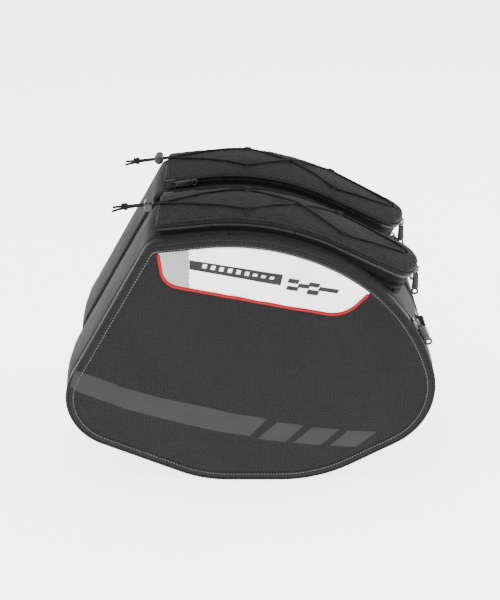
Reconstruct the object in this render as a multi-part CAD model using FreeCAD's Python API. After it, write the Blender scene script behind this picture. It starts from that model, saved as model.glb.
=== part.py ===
"""Linked pair of soft motorcycle saddlebags, millimetres.

+X is the rear of the machine, -Y the left side, +Z up, z = 0 the floor under the bags.
Every piece is drawn for the left bag and mirrored through y = 0 for the right one.
Each bag is a fabric gusset round a padded back panel, a moulded outer panel whose upper
part opens as a door on a fold line, and a low crown on top that lifts on a bellows.
"""
import FreeCAD, Part
import math
import os

V = FreeCAD.Vector

# ---- driving dimensions -------------------------------------------------
BAG_LENGTH = 470.0     # front to rear, one bag
BAG_HEIGHT = 341.0     # floor to the top of the outer panel
BACK_W = 18.0          # back face of the back panel, distance out from the middle plane
BACK_T = 10.0          # back panel foam
GUSSET_EDGE_W = 143.0  # outer edge of the gusset
PANEL_FACE_W = 163.0   # outer face of the outer panel
WALL = 3.0             # laminated fabric wall
PANEL_ROLL = 8.0       # rolled edge of the outer panel
PIPING_R = 2.2
RED_PIPING_R = 2.0
REFLECTOR_T = 1.0
FABRIC_GAP = 0.6       # door to lower panel along the fold

CHAIN_W = 3.6          # width of one zip half
CHAIN_SLOT = 1.8       # slot between the two halves
CHAIN_OUT = 0.8        # zip face set back from the wall surface
CHAIN_T = 2.4

CROWN_IN_W = 26.0
CROWN_OUT_W = 140.0
CROWN_END_R = 75.0     # bowed rear end
CROWN_CORNER_R = 26.0
CROWN_LENGTH = 0.4234 * BAG_LENGTH   # from the corner under the crown's bend to its rear end
CROWN_FRONT_X = -0.2468 * BAG_LENGTH
BELLOWS_H = 5.0
CROWN_H = 11.5           # at the crest of the crown
CROWN_EDGE_H = 2.5       # at its two long edges
CROWN_EDGE_R = 2.0
BELLOWS_INSET = 3.0
LIP_PITCH = 9.0
LIP_GAP = 2.6
LIP_DEPTH = 4.0
FOLD_WALL = 2.5

CORD_R = 1.5
LOOP_S = (0.232 * BAG_LENGTH, 0.4745 * BAG_LENGTH)   # two pairs of lacing loops, back along the crown
LOOP_WIDTH = 8.0
LACE_OUT_W = 118.0
LACE_IN_W = 48.0
LACE_MID_W = 89.0
LACE_BEND = 14.0

SLIDER_HALF = 6.5
SLIDER_W = 6.0
PULL_LENGTH = 38.0
PULL_W = 9.5
PULL_T = 1.8

LOCK_R = 6.5
LOCK_LENGTH = 16.0
LOCK_S = -9.5
BUTTON_TRAVEL = 4.0

# Tangent polygon of the bag's side view, corner and radius, from the bottom front round,
# drawn for a bag 470 by 341 and stretched to the length and height above
DRAWN_LENGTH = 470.0
DRAWN_HEIGHT = 341.0
FLAT_FRONT = (-64.7, 0.0, 160.0)
NOSE = (-267.5, 85.7, 70.0)
TOP_FRONT = (-126.0, 334.0, 22.0)
TOP_BEND = (23.4, 349.7, 290.0)
SHOULDER = (194.5, 266.5, 246.6)
TAIL = (250.9, 92.8, 92.0)
FLAT_REAR = (85.9, 0.0, 190.0)
OUTLINE = (FLAT_FRONT, NOSE, TOP_FRONT, TOP_BEND, SHOULDER, TAIL, FLAT_REAR)

SHIFT_X = 2.9          # centres the pair over the origin

FOLD_FRONT = (-234.0, 120.0)
FOLD_REAR = (232.0, 150.0)

REFLECTOR_EDGE = ((-114.0, 328.0, 0.0), (-108.0, 283.0, 22.0), (112.0, 240.0, 40.0), (150.0, 278.0, 0.0))

FAR = 900.0


# ---- flat drawing helpers ----------------------------------------------
def fitted(p):
    """A drawn point, or corner with its radius, stretched to the bag's size and centred."""
    kx = BAG_LENGTH / DRAWN_LENGTH
    kz = BAG_HEIGHT / DRAWN_HEIGHT
    return ((p[0] + SHIFT_X) * kx, p[1] * kz) + tuple(r * min(kx, kz) for r in p[2:])


def unit(a, b):
    length = math.hypot(b[0] - a[0], b[1] - a[1])
    return ((b[0] - a[0]) / length, (b[1] - a[1]) / length, length)


def bend(before, corner, after):
    """Tangent points, middle point and centre of the arc that rounds one corner."""
    ux, uz, _ = unit(corner, before)
    vx, vz, _ = unit(corner, after)
    half = math.acos(max(-1.0, min(1.0, ux * vx + uz * vz))) / 2.0
    run = corner[2] / math.tan(half)
    first = (corner[0] + ux * run, corner[1] + uz * run)
    last = (corner[0] + vx * run, corner[1] + vz * run)
    mx, mz, _ = unit((0.0, 0.0), (ux + vx, uz + vz))
    reach = corner[2] / math.sin(half)
    centre = (corner[0] + mx * reach, corner[1] + mz * reach)
    middle = (centre[0] - mx * corner[2], centre[1] - mz * corner[2])
    return first, middle, last, centre


def at(p, y=0.0):
    return V(p[0], y, p[1])


def rounded_wire(corners, closed, place=at):
    """Lines and tangent arcs through a list of corners (a, b, radius)."""
    count = len(corners)
    edges = []
    last = None
    start = None
    order = range(count) if closed else range(1, count - 1)
    if not closed:
        last = corners[0]
    for i in order:
        first, middle, end, _ = bend(corners[i - 1], corners[i], corners[(i + 1) % count])
        if last is None:
            start = first
        elif unit(last, first)[2] > 1e-4:
            edges.append(Part.makeLine(place(last), place(first)))
        edges.append(Part.Arc(place(first), place(middle), place(end)).toShape())
        last = end
    finish = start if closed else corners[-1]
    if unit(last, finish)[2] > 1e-4:
        edges.append(Part.makeLine(place(last), place(finish)))
    return Part.Wire(edges)


def rounded_to_fit(corners):
    """The corners with every radius reduced together until neighbouring arcs clear."""
    runs = []
    for before, corner, after in zip(corners[-1:] + corners[:-1], corners, corners[1:] + corners[:1]):
        first, _, _, _ = bend(before, corner, after)
        runs.append(unit(corner, first)[2])
    share = 1.0
    for i, corner in enumerate(corners):
        side = unit(corner, corners[i - 1])[2]
        share = min(share, 0.995 * side / (runs[i] + runs[i - 1]))
    return [(x, z, r * share) for x, z, r in corners]


BAG = rounded_to_fit([fitted(c) for c in OUTLINE])
BAG_WIRE = rounded_wire(BAG, True)


def side_face(offset=0.0):
    """The side view, grown (+) or shrunk (-) by an offset."""
    wire = BAG_WIRE.copy() if abs(offset) < 1e-9 else BAG_WIRE.makeOffset2D(offset)
    return Part.Face(wire)


def across(face, w0, w1):
    """Extrude an XZ face from w0 to w1 out from the middle plane, on the left bag."""
    solid = face.extrude(V(0, -(w1 - w0), 0))
    solid.translate(V(0, -w0, 0))
    return solid


def polygon(points):
    return Part.Face(Part.makePolygon([at(p) for p in points] + [at(points[0])]))


def one(shape):
    """The shape as one clean solid."""
    if shape.ShapeType != "Solid":
        shape = shape.removeSplitter()
    if len(shape.Solids) != 1:
        print("solids", len(shape.Solids), [round(s.Volume, 1) for s in shape.Solids])
    return shape.Solids[0] if len(shape.Solids) == 1 else shape


def block(x0, x1, y0, y1, z0, z1):
    return Part.makeBox(x1 - x0, y1 - y0, z1 - z0, V(x0, y0, z0))


def rod(a, b, radius):
    return Part.makeCylinder(radius, (b - a).Length, a, b - a)


def frame_at(origin, x_dir, z_dir):
    """Placement with local X along x_dir and local Z along z_dir."""
    z_dir = z_dir.normalize()
    y_dir = z_dir.cross(x_dir).normalize()
    x_dir = y_dir.cross(z_dir)
    turn = FreeCAD.Rotation(x_dir, y_dir, z_dir, "ZXY")
    return FreeCAD.Placement(origin, turn)


def placed(shape, place):
    moved = shape.copy()
    moved.Placement = place.multiply(moved.Placement)
    return moved


# ---- the fold line and the bag's regions --------------------------------
FOLD_A = fitted(FOLD_FRONT)
FOLD_B = fitted(FOLD_REAR)
FX, FZ, _ = unit(FOLD_A, FOLD_B)


def beyond(side):
    """Everything above (+1) or below (-1) the fold, half the fabric gap away."""
    px, pz = -FZ * side, FX * side
    gap = FABRIC_GAP / 2.0
    a = (FOLD_A[0] - FX * FAR + px * gap, FOLD_A[1] - FZ * FAR + pz * gap)
    b = (FOLD_B[0] + FX * FAR + px * gap, FOLD_B[1] + FZ * FAR + pz * gap)
    c = (b[0] + px * FAR, b[1] + pz * FAR)
    d = (a[0] + px * FAR, a[1] + pz * FAR)
    return across(polygon((a, b, c, d)), -10.0, 400.0)


ABOVE = beyond(1)
BELOW = beyond(-1)

_, _, _, SHOULDER_C = bend(BAG[3], BAG[4], BAG[5])
SHOULDER_R = BAG[4][2]


def ray(degrees, reach=FAR):
    a = math.radians(degrees)
    return (SHOULDER_C[0] + reach * math.cos(a), SHOULDER_C[1] + reach * math.sin(a))


def sector(first, last):
    middle = (first + last) / 2.0
    return across(polygon((SHOULDER_C, ray(first), ray(middle), ray(last))), -10.0, 400.0)


DECK_FRONT_A = math.degrees(math.atan2(BAG[2][1] - SHOULDER_C[1], BAG[2][0] - SHOULDER_C[0]))
DECK_REAR_A = 62.0
BASE_REAR_A = -40.0


# ---- crown frame: along the top (s), across (w), off the top (o) ---------
TOP_IN, _, TOP_OUT, TOP_C = bend(BAG[2], BAG[3], BAG[4])
F1X, F1Z, _ = unit(BAG[2], BAG[3])
F2X, F2Z, _ = unit(BAG[3], BAG[4])
TOP_R = BAG[3][2]
CROWN_X0 = CROWN_FRONT_X + SHIFT_X
CROWN_START = (CROWN_X0, BAG[2][1] + F1Z / F1X * (CROWN_X0 - BAG[2][0]))
S_ARC = unit(CROWN_START, TOP_IN)[2]
TURN = math.atan2(F1Z, F1X) - math.atan2(F2Z, F2X)
S_TAIL = S_ARC + TOP_R * TURN
TAIL_T0 = unit(BAG[3], TOP_OUT)[2]
S_END = S_TAIL + CROWN_LENGTH - TAIL_T0


def crown_frame(s):
    """Point on the top line at s, its direction and its normal, in XZ."""
    if s <= S_ARC:
        return (CROWN_START[0] + F1X * s, CROWN_START[1] + F1Z * s), (F1X, F1Z)
    if s >= S_TAIL:
        run = s - S_TAIL
        return (TOP_OUT[0] + F2X * run, TOP_OUT[1] + F2Z * run), (F2X, F2Z)
    a = math.atan2(F1Z, F1X) - (s - S_ARC) / TOP_R
    nx, nz = -math.sin(a), math.cos(a)
    return (TOP_C[0] + nx * TOP_R, TOP_C[1] + nz * TOP_R), (math.cos(a), math.sin(a))


def crown_point(s, w, o):
    (x, z), (dx, dz) = crown_frame(s)
    return V(x - dz * o, -w, z + dx * o)


def crown_place(s, w, o):
    """Local X back along the crown, local Z off its top."""
    _, (dx, dz) = crown_frame(s)
    return frame_at(crown_point(s, w, o), V(dx, 0, dz), V(-dz, 0, dx))


def crown_band(o0, o1, s0=0.0, s1=S_END + 60.0):
    """Slab following the top line between two heights."""
    ends = []
    for o in (o0, o1):
        ends.append([crown_point(s, 0, o) for s in (s0, S_ARC, (S_ARC + S_TAIL) / 2.0, S_TAIL, s1)])
    low, high = ends
    edges = [
        Part.makeLine(low[0], low[1]),
        Part.Arc(low[1], low[2], low[3]).toShape(),
        Part.makeLine(low[3], low[4]),
        Part.makeLine(low[4], high[4]),
        Part.makeLine(high[4], high[3]),
        Part.Arc(high[3], high[2], high[1]).toShape(),
        Part.makeLine(high[1], high[0]),
        Part.makeLine(high[0], low[0]),
    ]
    return across(Part.Face(Part.Wire(edges)), -10.0, 200.0)


CROWN_MID_W = (CROWN_IN_W + CROWN_OUT_W) / 2.0
CREST_HALF = (CROWN_OUT_W - CROWN_IN_W) / 2.0
CREST_DROP = CROWN_H - CROWN_EDGE_H
CREST_R = (CREST_HALF ** 2 + CREST_DROP ** 2) / (2.0 * CREST_DROP)


def crown_fall(w, wall=0.0):
    """How far the arched top has fallen below its crest, w out from the middle."""
    return CREST_R - math.sqrt((CREST_R - wall) ** 2 - (w - CROWN_MID_W) ** 2) - wall


def crown_arch(wall=0.0):
    """Bar with an arched top that follows the top line, wall under the crown's outer face."""
    def section(s):
        side = CREST_HALF + 1.0
        crest = CROWN_TOP - wall
        low, high = CROWN_MID_W - side, CROWN_MID_W + side
        ends = [crown_point(s, w, crest - crown_fall(w, wall)) for w in (low, CROWN_MID_W, high)]
        foot = [crown_point(s, w, -120.0) for w in (high, low)]
        return Part.Face(Part.Wire([
            Part.Arc(*ends).toShape(),
            Part.makeLine(ends[2], foot[0]),
            Part.makeLine(foot[0], foot[1]),
            Part.makeLine(foot[1], ends[0]),
        ]))

    front = section(0.0).extrude(V(F1X, 0, F1Z) * S_ARC)
    bend_part = section(S_ARC).revolve(at(TOP_C), V(0, 1, 0), math.degrees(TURN))
    rear = section(S_TAIL).extrude(V(F2X, 0, F2Z) * (S_END + 60.0 - S_TAIL))
    return front.fuse([bend_part, rear]).removeSplitter()


END_C_S = S_END - CROWN_END_R


def tail_point(a, b):
    """Plan position on the tail plane: a back along the crown, b out from the middle."""
    x = TOP_OUT[0] + F2X * (a - S_TAIL)
    z = TOP_OUT[1] + F2Z * (a - S_TAIL)
    return V(x, -b, z)


def crown_plan(inset):
    """Plan of the crown, extruded square to its rear half."""
    half = (CROWN_OUT_W - CROWN_IN_W) / 2.0 - inset
    corner_r = CROWN_CORNER_R - inset
    end_r = CROWN_END_R - inset
    swing = math.asin((half - corner_r) / (end_r - corner_r))
    corner_s = END_C_S + (end_r - corner_r) * math.cos(swing)
    front = -120.0
    pts = {}
    for side in (-1, 1):
        mid = CROWN_MID_W + side * (half - corner_r)
        edge = CROWN_MID_W + side * half
        lean = swing / 2.0 + math.pi / 4.0
        pts[side] = (
            tail_point(front, edge),
            tail_point(corner_s, edge),
            tail_point(corner_s + corner_r * math.cos(lean), mid + side * corner_r * math.sin(lean)),
            tail_point(END_C_S + end_r * math.cos(swing), CROWN_MID_W + side * end_r * math.sin(swing)),
        )
    inner, outer = pts[-1], pts[1]
    edges = [
        Part.makeLine(inner[0], inner[1]),
        Part.Arc(inner[1], inner[2], inner[3]).toShape(),
        Part.Arc(inner[3], tail_point(END_C_S + end_r, CROWN_MID_W), outer[3]).toShape(),
        Part.Arc(outer[3], outer[2], outer[1]).toShape(),
        Part.makeLine(outer[1], outer[0]),
        Part.makeLine(outer[0], inner[0]),
    ]
    face = Part.Face(Part.Wire(edges))
    face.translate(V(-F2Z, 0, F2X) * -160.0)
    return face.extrude(V(-F2Z, 0, F2X) * 360.0)


# ---- fabric body ---------------------------------------------------------
def body_pieces(add):
    ring = across(side_face(), BACK_W + BACK_T, GUSSET_EDGE_W)
    ring = ring.cut(across(side_face(-WALL), 0.0, 200.0))
    deck = sector(DECK_REAR_A, DECK_FRONT_A)
    rear = sector(BASE_REAR_A, DECK_REAR_A)
    add("deck", one(ring.common(deck)))
    add("rear_gusset", one(ring.common(rear)))
    add("base_gusset", one(ring.cut(deck).cut(rear)))

    pad = across(side_face(), BACK_W, BACK_W + BACK_T)
    rim = [e for e in pad.Edges if all(abs(v.Point.y + BACK_W) < 1e-6 for v in e.Vertexes)]
    add("back_panel", one(pad.makeFillet(BACK_T * 0.4, rim)))


def panel_shell(w_start):
    solid = across(side_face(), w_start, PANEL_FACE_W)
    rim = [e for e in solid.Edges if all(abs(v.Point.y + PANEL_FACE_W) < 1e-6 for v in e.Vertexes)]
    solid = solid.makeFillet(PANEL_ROLL, rim)
    inner = across(side_face(-WALL), w_start - 10.0, PANEL_FACE_W - WALL)
    rim = [e for e in inner.Edges if all(abs(v.Point.y + PANEL_FACE_W - WALL) < 1e-6 for v in e.Vertexes)]
    return solid.cut(inner.makeFillet(PANEL_ROLL - WALL, rim))


CHAIN_MID_W = GUSSET_EDGE_W + CHAIN_W + CHAIN_SLOT / 2.0
DOOR_RIM_W = CHAIN_MID_W + CHAIN_SLOT / 2.0 + CHAIN_W


def panel_pieces(add):
    door = one(panel_shell(DOOR_RIM_W).common(ABOVE))
    lower = one(panel_shell(GUSSET_EDGE_W).common(BELOW))
    add("door_shell", door)
    add("lower_shell", lower)

    # Bound edge: a bead let into the rolled edge
    lean = PANEL_ROLL * (1.0 - math.sqrt(0.5))
    path = side_face(-lean).OuterWire
    path.translate(V(0, -(PANEL_FACE_W - lean), 0))
    start = path.Edges[0]
    p0 = start.valueAt(start.FirstParameter)
    ring = Part.Wire(Part.makeCircle(PIPING_R, p0, start.tangentAt(start.FirstParameter)))
    bead = path.makePipeShell([ring], True, False)
    add("door_piping", one(bead.common(ABOVE).cut(door)))
    add("lower_piping", one(bead.common(BELOW).cut(lower)))

    # Reflective upper panel and the red bead along its lower edge
    edge = [fitted(c) for c in REFLECTOR_EDGE]
    curve = rounded_wire(edge, False)
    roof = [edge[-1], (edge[-1][0] + 90.0, edge[-1][1] + 70.0), (-60.0, 500.0), (-230.0, 400.0), edge[0]]
    cap = [Part.makeLine(at(a), at(b)) for a, b in zip(roof, roof[1:])]
    above_edge = across(Part.Face(Part.Wire(curve.Edges + cap)), 100.0, 300.0)
    sheet = across(side_face(-PANEL_ROLL), PANEL_FACE_W, PANEL_FACE_W + REFLECTOR_T)
    sheet = one(sheet.common(above_edge))
    add("reflector_panel", sheet)

    run = curve.copy()
    run.translate(V(0, -(PANEL_FACE_W + REFLECTOR_T * 0.4), 0))
    first = run.OrderedEdges[0]
    q0 = first.valueAt(first.FirstParameter)
    dot = Part.Wire(Part.makeCircle(RED_PIPING_R, q0, first.tangentAt(first.FirstParameter)))
    red = run.makePipeShell([dot], True, False)
    red = red.common(across(side_face(-PANEL_ROLL), 100.0, 300.0)).cut(door).cut(sheet)
    add("red_piping", one(red))


# ---- crown ---------------------------------------------------------------
ZIP_LOW = BELLOWS_H
ZIP_MID = BELLOWS_H + 2.2 + 0.9
ZIP_HALF = 2.2
CROWN_BASE = ZIP_MID + 0.9 + ZIP_HALF
CROWN_TOP = CROWN_BASE + CROWN_H


def is_top_edge(edge):
    """An edge of the crown where its arched top meets a side wall."""
    m = edge.valueAt((edge.FirstParameter + edge.LastParameter) / 2.0)
    w = -m.y
    base = crown_band(CROWN_BASE - 0.5, CROWN_BASE + 0.5).distToShape(Part.Vertex(m))[0]
    long_side = min(abs(w - CROWN_IN_W), abs(w - CROWN_OUT_W)) < 0.01
    across_end = abs(edge.tangentAt(edge.FirstParameter).y) > 0.02
    return base > 0.5 and (long_side or across_end)


def crown_pieces(add):
    core = crown_plan(BELLOWS_INSET)
    fill = core.common(crown_band(-120.0, BELLOWS_H)).cut(across(side_face(), -20.0, 300.0))
    groove = core.cut(crown_plan(BELLOWS_INSET + LIP_DEPTH))
    for k in (1, 2):
        top = BELLOWS_H - k * LIP_PITCH
        fill = fill.cut(groove.common(crown_band(top - LIP_GAP, top)))
    room = BELLOWS_INSET + LIP_DEPTH + FOLD_WALL
    fill = fill.cut(crown_plan(room).common(crown_band(-120.0, BELLOWS_H + 1.0, room)))
    add("bellows", one(fill))

    track = crown_plan(CHAIN_OUT).cut(crown_plan(CHAIN_OUT + CHAIN_T))
    add("crown_chain_lower", one(track.common(crown_band(ZIP_LOW, ZIP_LOW + ZIP_HALF))))
    add("crown_chain_upper", one(track.common(crown_band(CROWN_BASE - ZIP_HALF, CROWN_BASE))))

    dome = one(crown_plan(0.0).common(crown_band(CROWN_BASE, CROWN_TOP + 1.0)).common(crown_arch()))
    rim = [e for e in dome.Edges if is_top_edge(e)]
    dome = dome.makeFillet(CROWN_EDGE_R, rim)
    side_wall = WALL + 1.2
    hollow = crown_plan(side_wall).common(crown_band(CROWN_BASE - 1.0, CROWN_TOP, side_wall))
    add("crown_shell", one(dome.cut(hollow.common(crown_arch(WALL)))))


# ---- zips -----------------------------------------------------------------
def slider_solid(bail_across):
    """Zip slider in its own frame: X along the track, Z out of the wall."""
    plate = block(-SLIDER_HALF, SLIDER_HALF, -SLIDER_W, SLIDER_W, 0.5, 2.5)
    plate = plate.makeFillet(1.6, [e for e in plate.Edges if abs(e.tangentAt(0).z) > 0.9])
    web = block(-5.0, 5.0, -0.4, 0.4, -5.0, 0.6)
    inner = block(-5.5, 5.5, -2.6, 2.6, -6.2, -4.8)
    bail = block(-4.0, 4.0, -1.2, 1.2, 2.4, 6.5).cut(block(-2.6, 2.6, -2.0, 2.0, 2.5, 5.1))
    if bail_across:
        bail.rotate(V(0, 0, 0), V(0, 0, 1), 90)
    return one(plate.fuse([web, inner, bail]))


PULL_PIVOT = 3.8


def pull_solid():
    """Pull lying along +X from a pivot bar along Y through the origin."""
    bar = rod(V(0, -2.8, 0), V(0, 2.8, 0), 0.7)
    arms = block(-0.7, 7.0, 1.6, 2.8, -0.7, 0.7).fuse(block(-0.7, 7.0, -2.8, -1.6, -0.7, 0.7))
    half = PULL_W / 2.0
    t = PULL_T / 2.0
    plan = [V(5.3, -2.8, -t), V(9.0, -half, -t), V(PULL_LENGTH - 4.0, -half * 0.86, -t),
            V(PULL_LENGTH, -half * 0.5, -t), V(PULL_LENGTH, half * 0.5, -t),
            V(PULL_LENGTH - 4.0, half * 0.86, -t), V(9.0, half, -t), V(5.3, 2.8, -t)]
    tab = Part.Face(Part.makePolygon(plan + [plan[0]])).extrude(V(0, 0, PULL_T))
    slot = block(PULL_LENGTH - 13.0, PULL_LENGTH - 6.0, -1.9, 1.9, -2.0, 2.0)
    slot = slot.makeFillet(1.8, [e for e in slot.Edges if abs(e.tangentAt(0).z) > 0.9])
    grip = block(12.0, 22.0, -half * 0.55, half * 0.55, -t + 0.3, t - 0.3)
    return one(bar.fuse([arms, tab.cut(slot), grip]))


MAIN_SLIDER_A = 32.0
FRONT_SLIDER_S = 9.0


def zip_pieces(add):
    rim = side_face(-CHAIN_OUT)
    core = across(side_face(-CHAIN_OUT - CHAIN_T), 0.0, 300.0)
    for name, w0 in (("main_chain_bag", GUSSET_EDGE_W), ("main_chain_door", DOOR_RIM_W - CHAIN_W)):
        ring = across(rim, w0, w0 + CHAIN_W).cut(core)
        add(name, one(ring.common(ABOVE)))

    a = math.radians(MAIN_SLIDER_A)
    out = V(math.cos(a), 0, math.sin(a))
    down = V(math.sin(a), 0, -math.cos(a))
    seat = V(SHOULDER_C[0], -CHAIN_MID_W, SHOULDER_C[1]) + out * SHOULDER_R
    add("main_slider", placed(slider_solid(False), frame_at(seat, down, out)))
    add("main_pull", placed(pull_solid(), frame_at(seat + out * PULL_PIVOT, down, out)))

    seat = crown_point(FRONT_SLIDER_S, CROWN_IN_W, ZIP_MID)
    along = V(F1X, 0, F1Z)
    inward = V(0, 1, 0)
    add("front_slider", placed(slider_solid(False), frame_at(seat, along, inward)))
    add("front_pull", placed(pull_solid(), frame_at(seat + inward * PULL_PIVOT, along, inward)))

    seat = crown_point(S_END, CROWN_MID_W, ZIP_MID)
    rearward = V(F2X, 0, F2Z)
    add("crown_slider", placed(slider_solid(True), frame_at(seat, V(0, 1, 0), rearward)))
    pivot = seat + rearward * PULL_PIVOT
    add("crown_pull", placed(pull_solid(), frame_at(pivot, V(0, 0, -1), V(1, 0, 0))))


# ---- lacing ----------------------------------------------------------------
LACE_LOW = CORD_R + 0.1
LACE_O = CROWN_TOP - crown_fall(LACE_MID_W) + LACE_LOW
LACE_SLACK = 0.4
REAR_TURN = 9.0
LACE_LIFT = 2.0 * CORD_R + 0.3
LACE_FRONT_S = -6.0
STRAND_GAP = 1.9
REAR_LOOP_S = S_END - 22.0
KNOT_S = -42.0
LOCK_FILLET = 3.2
BORE_R = 4.6
STRAND_HOLE = (4.0, 2.0)   # half width and half height of the passage through the lock


def on_crown(s, w):
    """Placement on the arched top under a lacing cord, local Z square to the cloth."""
    _, (dx, dz) = crown_frame(s)
    lean = math.asin((w - CROWN_MID_W) / CREST_R)
    up = V(-dz * math.cos(lean), -math.sin(lean), dx * math.cos(lean))
    return frame_at(crown_point(s, w, CROWN_TOP - crown_fall(w) + LACE_LOW), V(dx, 0, dz), up)


def arc_route(points, radius):
    """Straight runs through the points joined by tangent arcs."""
    edges = []
    last = points[0]
    for before, corner, after in zip(points, points[1:], points[2:]):
        u = (before - corner).normalize()
        v = (after - corner).normalize()
        half = u.getAngle(v) / 2.0
        if math.pi - 2.0 * half < 0.002:
            continue
        shorter = min((before - corner).Length, (after - corner).Length)
        run = min(radius / math.tan(half), 0.45 * shorter)
        bend_r = run * math.tan(half)
        first = corner + u * run
        end = corner + v * run
        middle = (u + v).normalize()
        centre = corner + middle * (bend_r / math.sin(half))
        edges.append(Part.makeLine(last, first))
        edges.append(Part.Arc(first, centre - middle * bend_r, end).toShape())
        last = end
    edges.append(Part.makeLine(last, points[-1]))
    return Part.Wire(edges)


def cord_along(points, bend_r):
    ring = Part.Wire(Part.makeCircle(CORD_R, points[0], points[1] - points[0]))
    return arc_route(points, bend_r).makePipeShell([ring], True, False)


def lace_points():
    """Corners of the lacing: in over the front, round both loops of one diagonal, the
    rear loop, and back along the other diagonal."""
    w_a = LACE_MID_W - STRAND_GAP
    w_b = LACE_MID_W + STRAND_GAP
    s1, s2 = LOOP_S
    middle = (s1 + s2) / 2.0
    points = []

    def run(s, w, steps):
        """Straight in plan, following the bend of the top."""
        s0, w0 = run.last
        for k in range(1, steps + 1):
            f = k / steps
            here = s0 + (s - s0) * f
            over = run.first_half and abs(here - middle) < 1.0
            out = w0 + (w - w0) * f
            rest = CROWN_TOP - crown_fall(out) + LACE_LOW + LACE_SLACK
            points.append(crown_point(here, out, rest + (LACE_LIFT if over else 0.0)))
        run.last = (s, w)

    run.last = (LACE_FRONT_S, w_a)
    run.first_half = True
    points.append(crown_point(LACE_FRONT_S, w_a, LACE_O))
    run(10.0, w_a, 1)
    run(s1, LACE_IN_W, 4)
    run(s2, LACE_OUT_W, 4)
    run(REAR_LOOP_S, CROWN_MID_W + REAR_TURN, 2)
    run.first_half = False
    run(REAR_LOOP_S, CROWN_MID_W - REAR_TURN, 1)
    run(s2, LACE_IN_W, 2)
    run(s1, LACE_OUT_W, 4)
    run(10.0, w_b, 4)
    points.append(crown_point(LACE_FRONT_S, w_b, LACE_O))
    return points


def loop_solid(reach):
    """Webbing loop: flat tape along -Y that turns round the cord at the origin."""
    eye = 3.0
    tape = 1.2
    roof = CORD_R + 1.0
    half = LOOP_WIDTH / 2.0
    floor = -CORD_R - 0.1
    ring = block(-half, half, -eye - tape, eye + tape, floor, roof + tape)
    ring = ring.cut(block(-half - 1, half + 1, -eye, eye, floor - 1.0, roof))
    ring = ring.makeFillet(1.0, [e for e in ring.Edges if abs(e.valueAt(0).z - roof - tape) < 1e-6
                                 and abs(e.tangentAt(0).x) > 0.9])
    foot = block(-half, half, -reach, -eye - tape + 0.01, floor, floor + tape)
    toe = block(-half, half, eye + tape - 0.01, eye + tape + 4.0, floor, floor + tape)
    return one(ring.fuse([foot, toe]))


def lacing_pieces(add):
    add("lacing_cord", one(cord_along(lace_points(), LACE_BEND)))
    loops = []
    apex = LACE_BEND * 0.16
    for s in LOOP_S:
        loops.append(placed(loop_solid(12.0), on_crown(s, LACE_OUT_W - apex)))
        mirror = loop_solid(12.0).mirror(V(0, 0, 0), V(0, 1, 0))
        loops.append(placed(mirror, on_crown(s, LACE_IN_W + apex)))
    rear = loop_solid(10.0)
    rear.rotate(V(0, 0, 0), V(0, 0, 1), 90)
    loops.append(placed(rear, on_crown(REAR_LOOP_S, CROWN_MID_W)))
    add("lacing_loops", Part.makeCompound(loops))

    # Sprung barrel on the twin strands in front of the crown
    seat = crown_place(LOCK_S, LACE_MID_W, LACE_O)
    end = -LOCK_LENGTH / 2.0
    barrel = Part.makeCylinder(LOCK_R, LOCK_LENGTH, V(0, end, 0), V(0, 1, 0))
    barrel = barrel.makeFillet(LOCK_FILLET, barrel.Edges[:1] + barrel.Edges[2:])
    bore = Part.makeCylinder(BORE_R, LOCK_LENGTH - 2.5, V(0, end, 0), V(0, 1, 0))
    half_w, half_h = STRAND_HOLE
    hole = block(-20.0, 20.0, -half_w, half_w, -half_h, half_h)
    add("cord_lock", placed(one(barrel.cut(bore).cut(hole)), seat))
    stem = Part.makeCylinder(BORE_R - 0.4, LOCK_LENGTH - 3.5, V(0, end - 5.0, 0), V(0, 1, 0))
    cap = Part.makeCylinder(5.2, 2.6, V(0, end - 7.2, 0), V(0, 1, 0))
    cap = cap.makeFillet(1.0, cap.Edges)
    passage = block(-20.0, 20.0, -half_w - BUTTON_TRAVEL, 20.0, -half_h - 0.1, half_h + 0.1)
    add("lock_button", placed(one(stem.fuse(cap).cut(passage)), seat))

    # Twin strands through the lock, the knot and the two free ends
    strands = []
    for w, spread in ((LACE_MID_W - STRAND_GAP, -5.0), (LACE_MID_W + STRAND_GAP, 6.0)):
        a = crown_point(LACE_FRONT_S, w, LACE_O)
        b = crown_point(KNOT_S, w, LACE_O)
        c = crown_point(KNOT_S - 14.0, w + spread, LACE_O - 2.0)
        turn = math.pi - (a - b).getAngle(c - b)
        radius = 0.45 * (c - b).Length / math.tan(turn / 2.0)
        print("cord_tails bend radius", round(radius, 2))
        strands.append(cord_along([a, b, c], radius))
    knot = Part.makeSphere(4.6, crown_point(KNOT_S + 2.0, LACE_MID_W, LACE_O))
    add("cord_tails", one(strands[0].fuse([strands[1], knot])))


# ---- straps and small parts --------------------------------------------------
PATCH_A = (13.0, 27.0)
PATCH_W = (72.0, 118.0)
PATCH_T = 1.2
BUCKLE_A = 25.5
BUCKLE_W = 30.0
BUCKLE_H = 22.0
BUCKLE_T = 3.6
BUCKLE_BAR_R = 1.8


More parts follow.
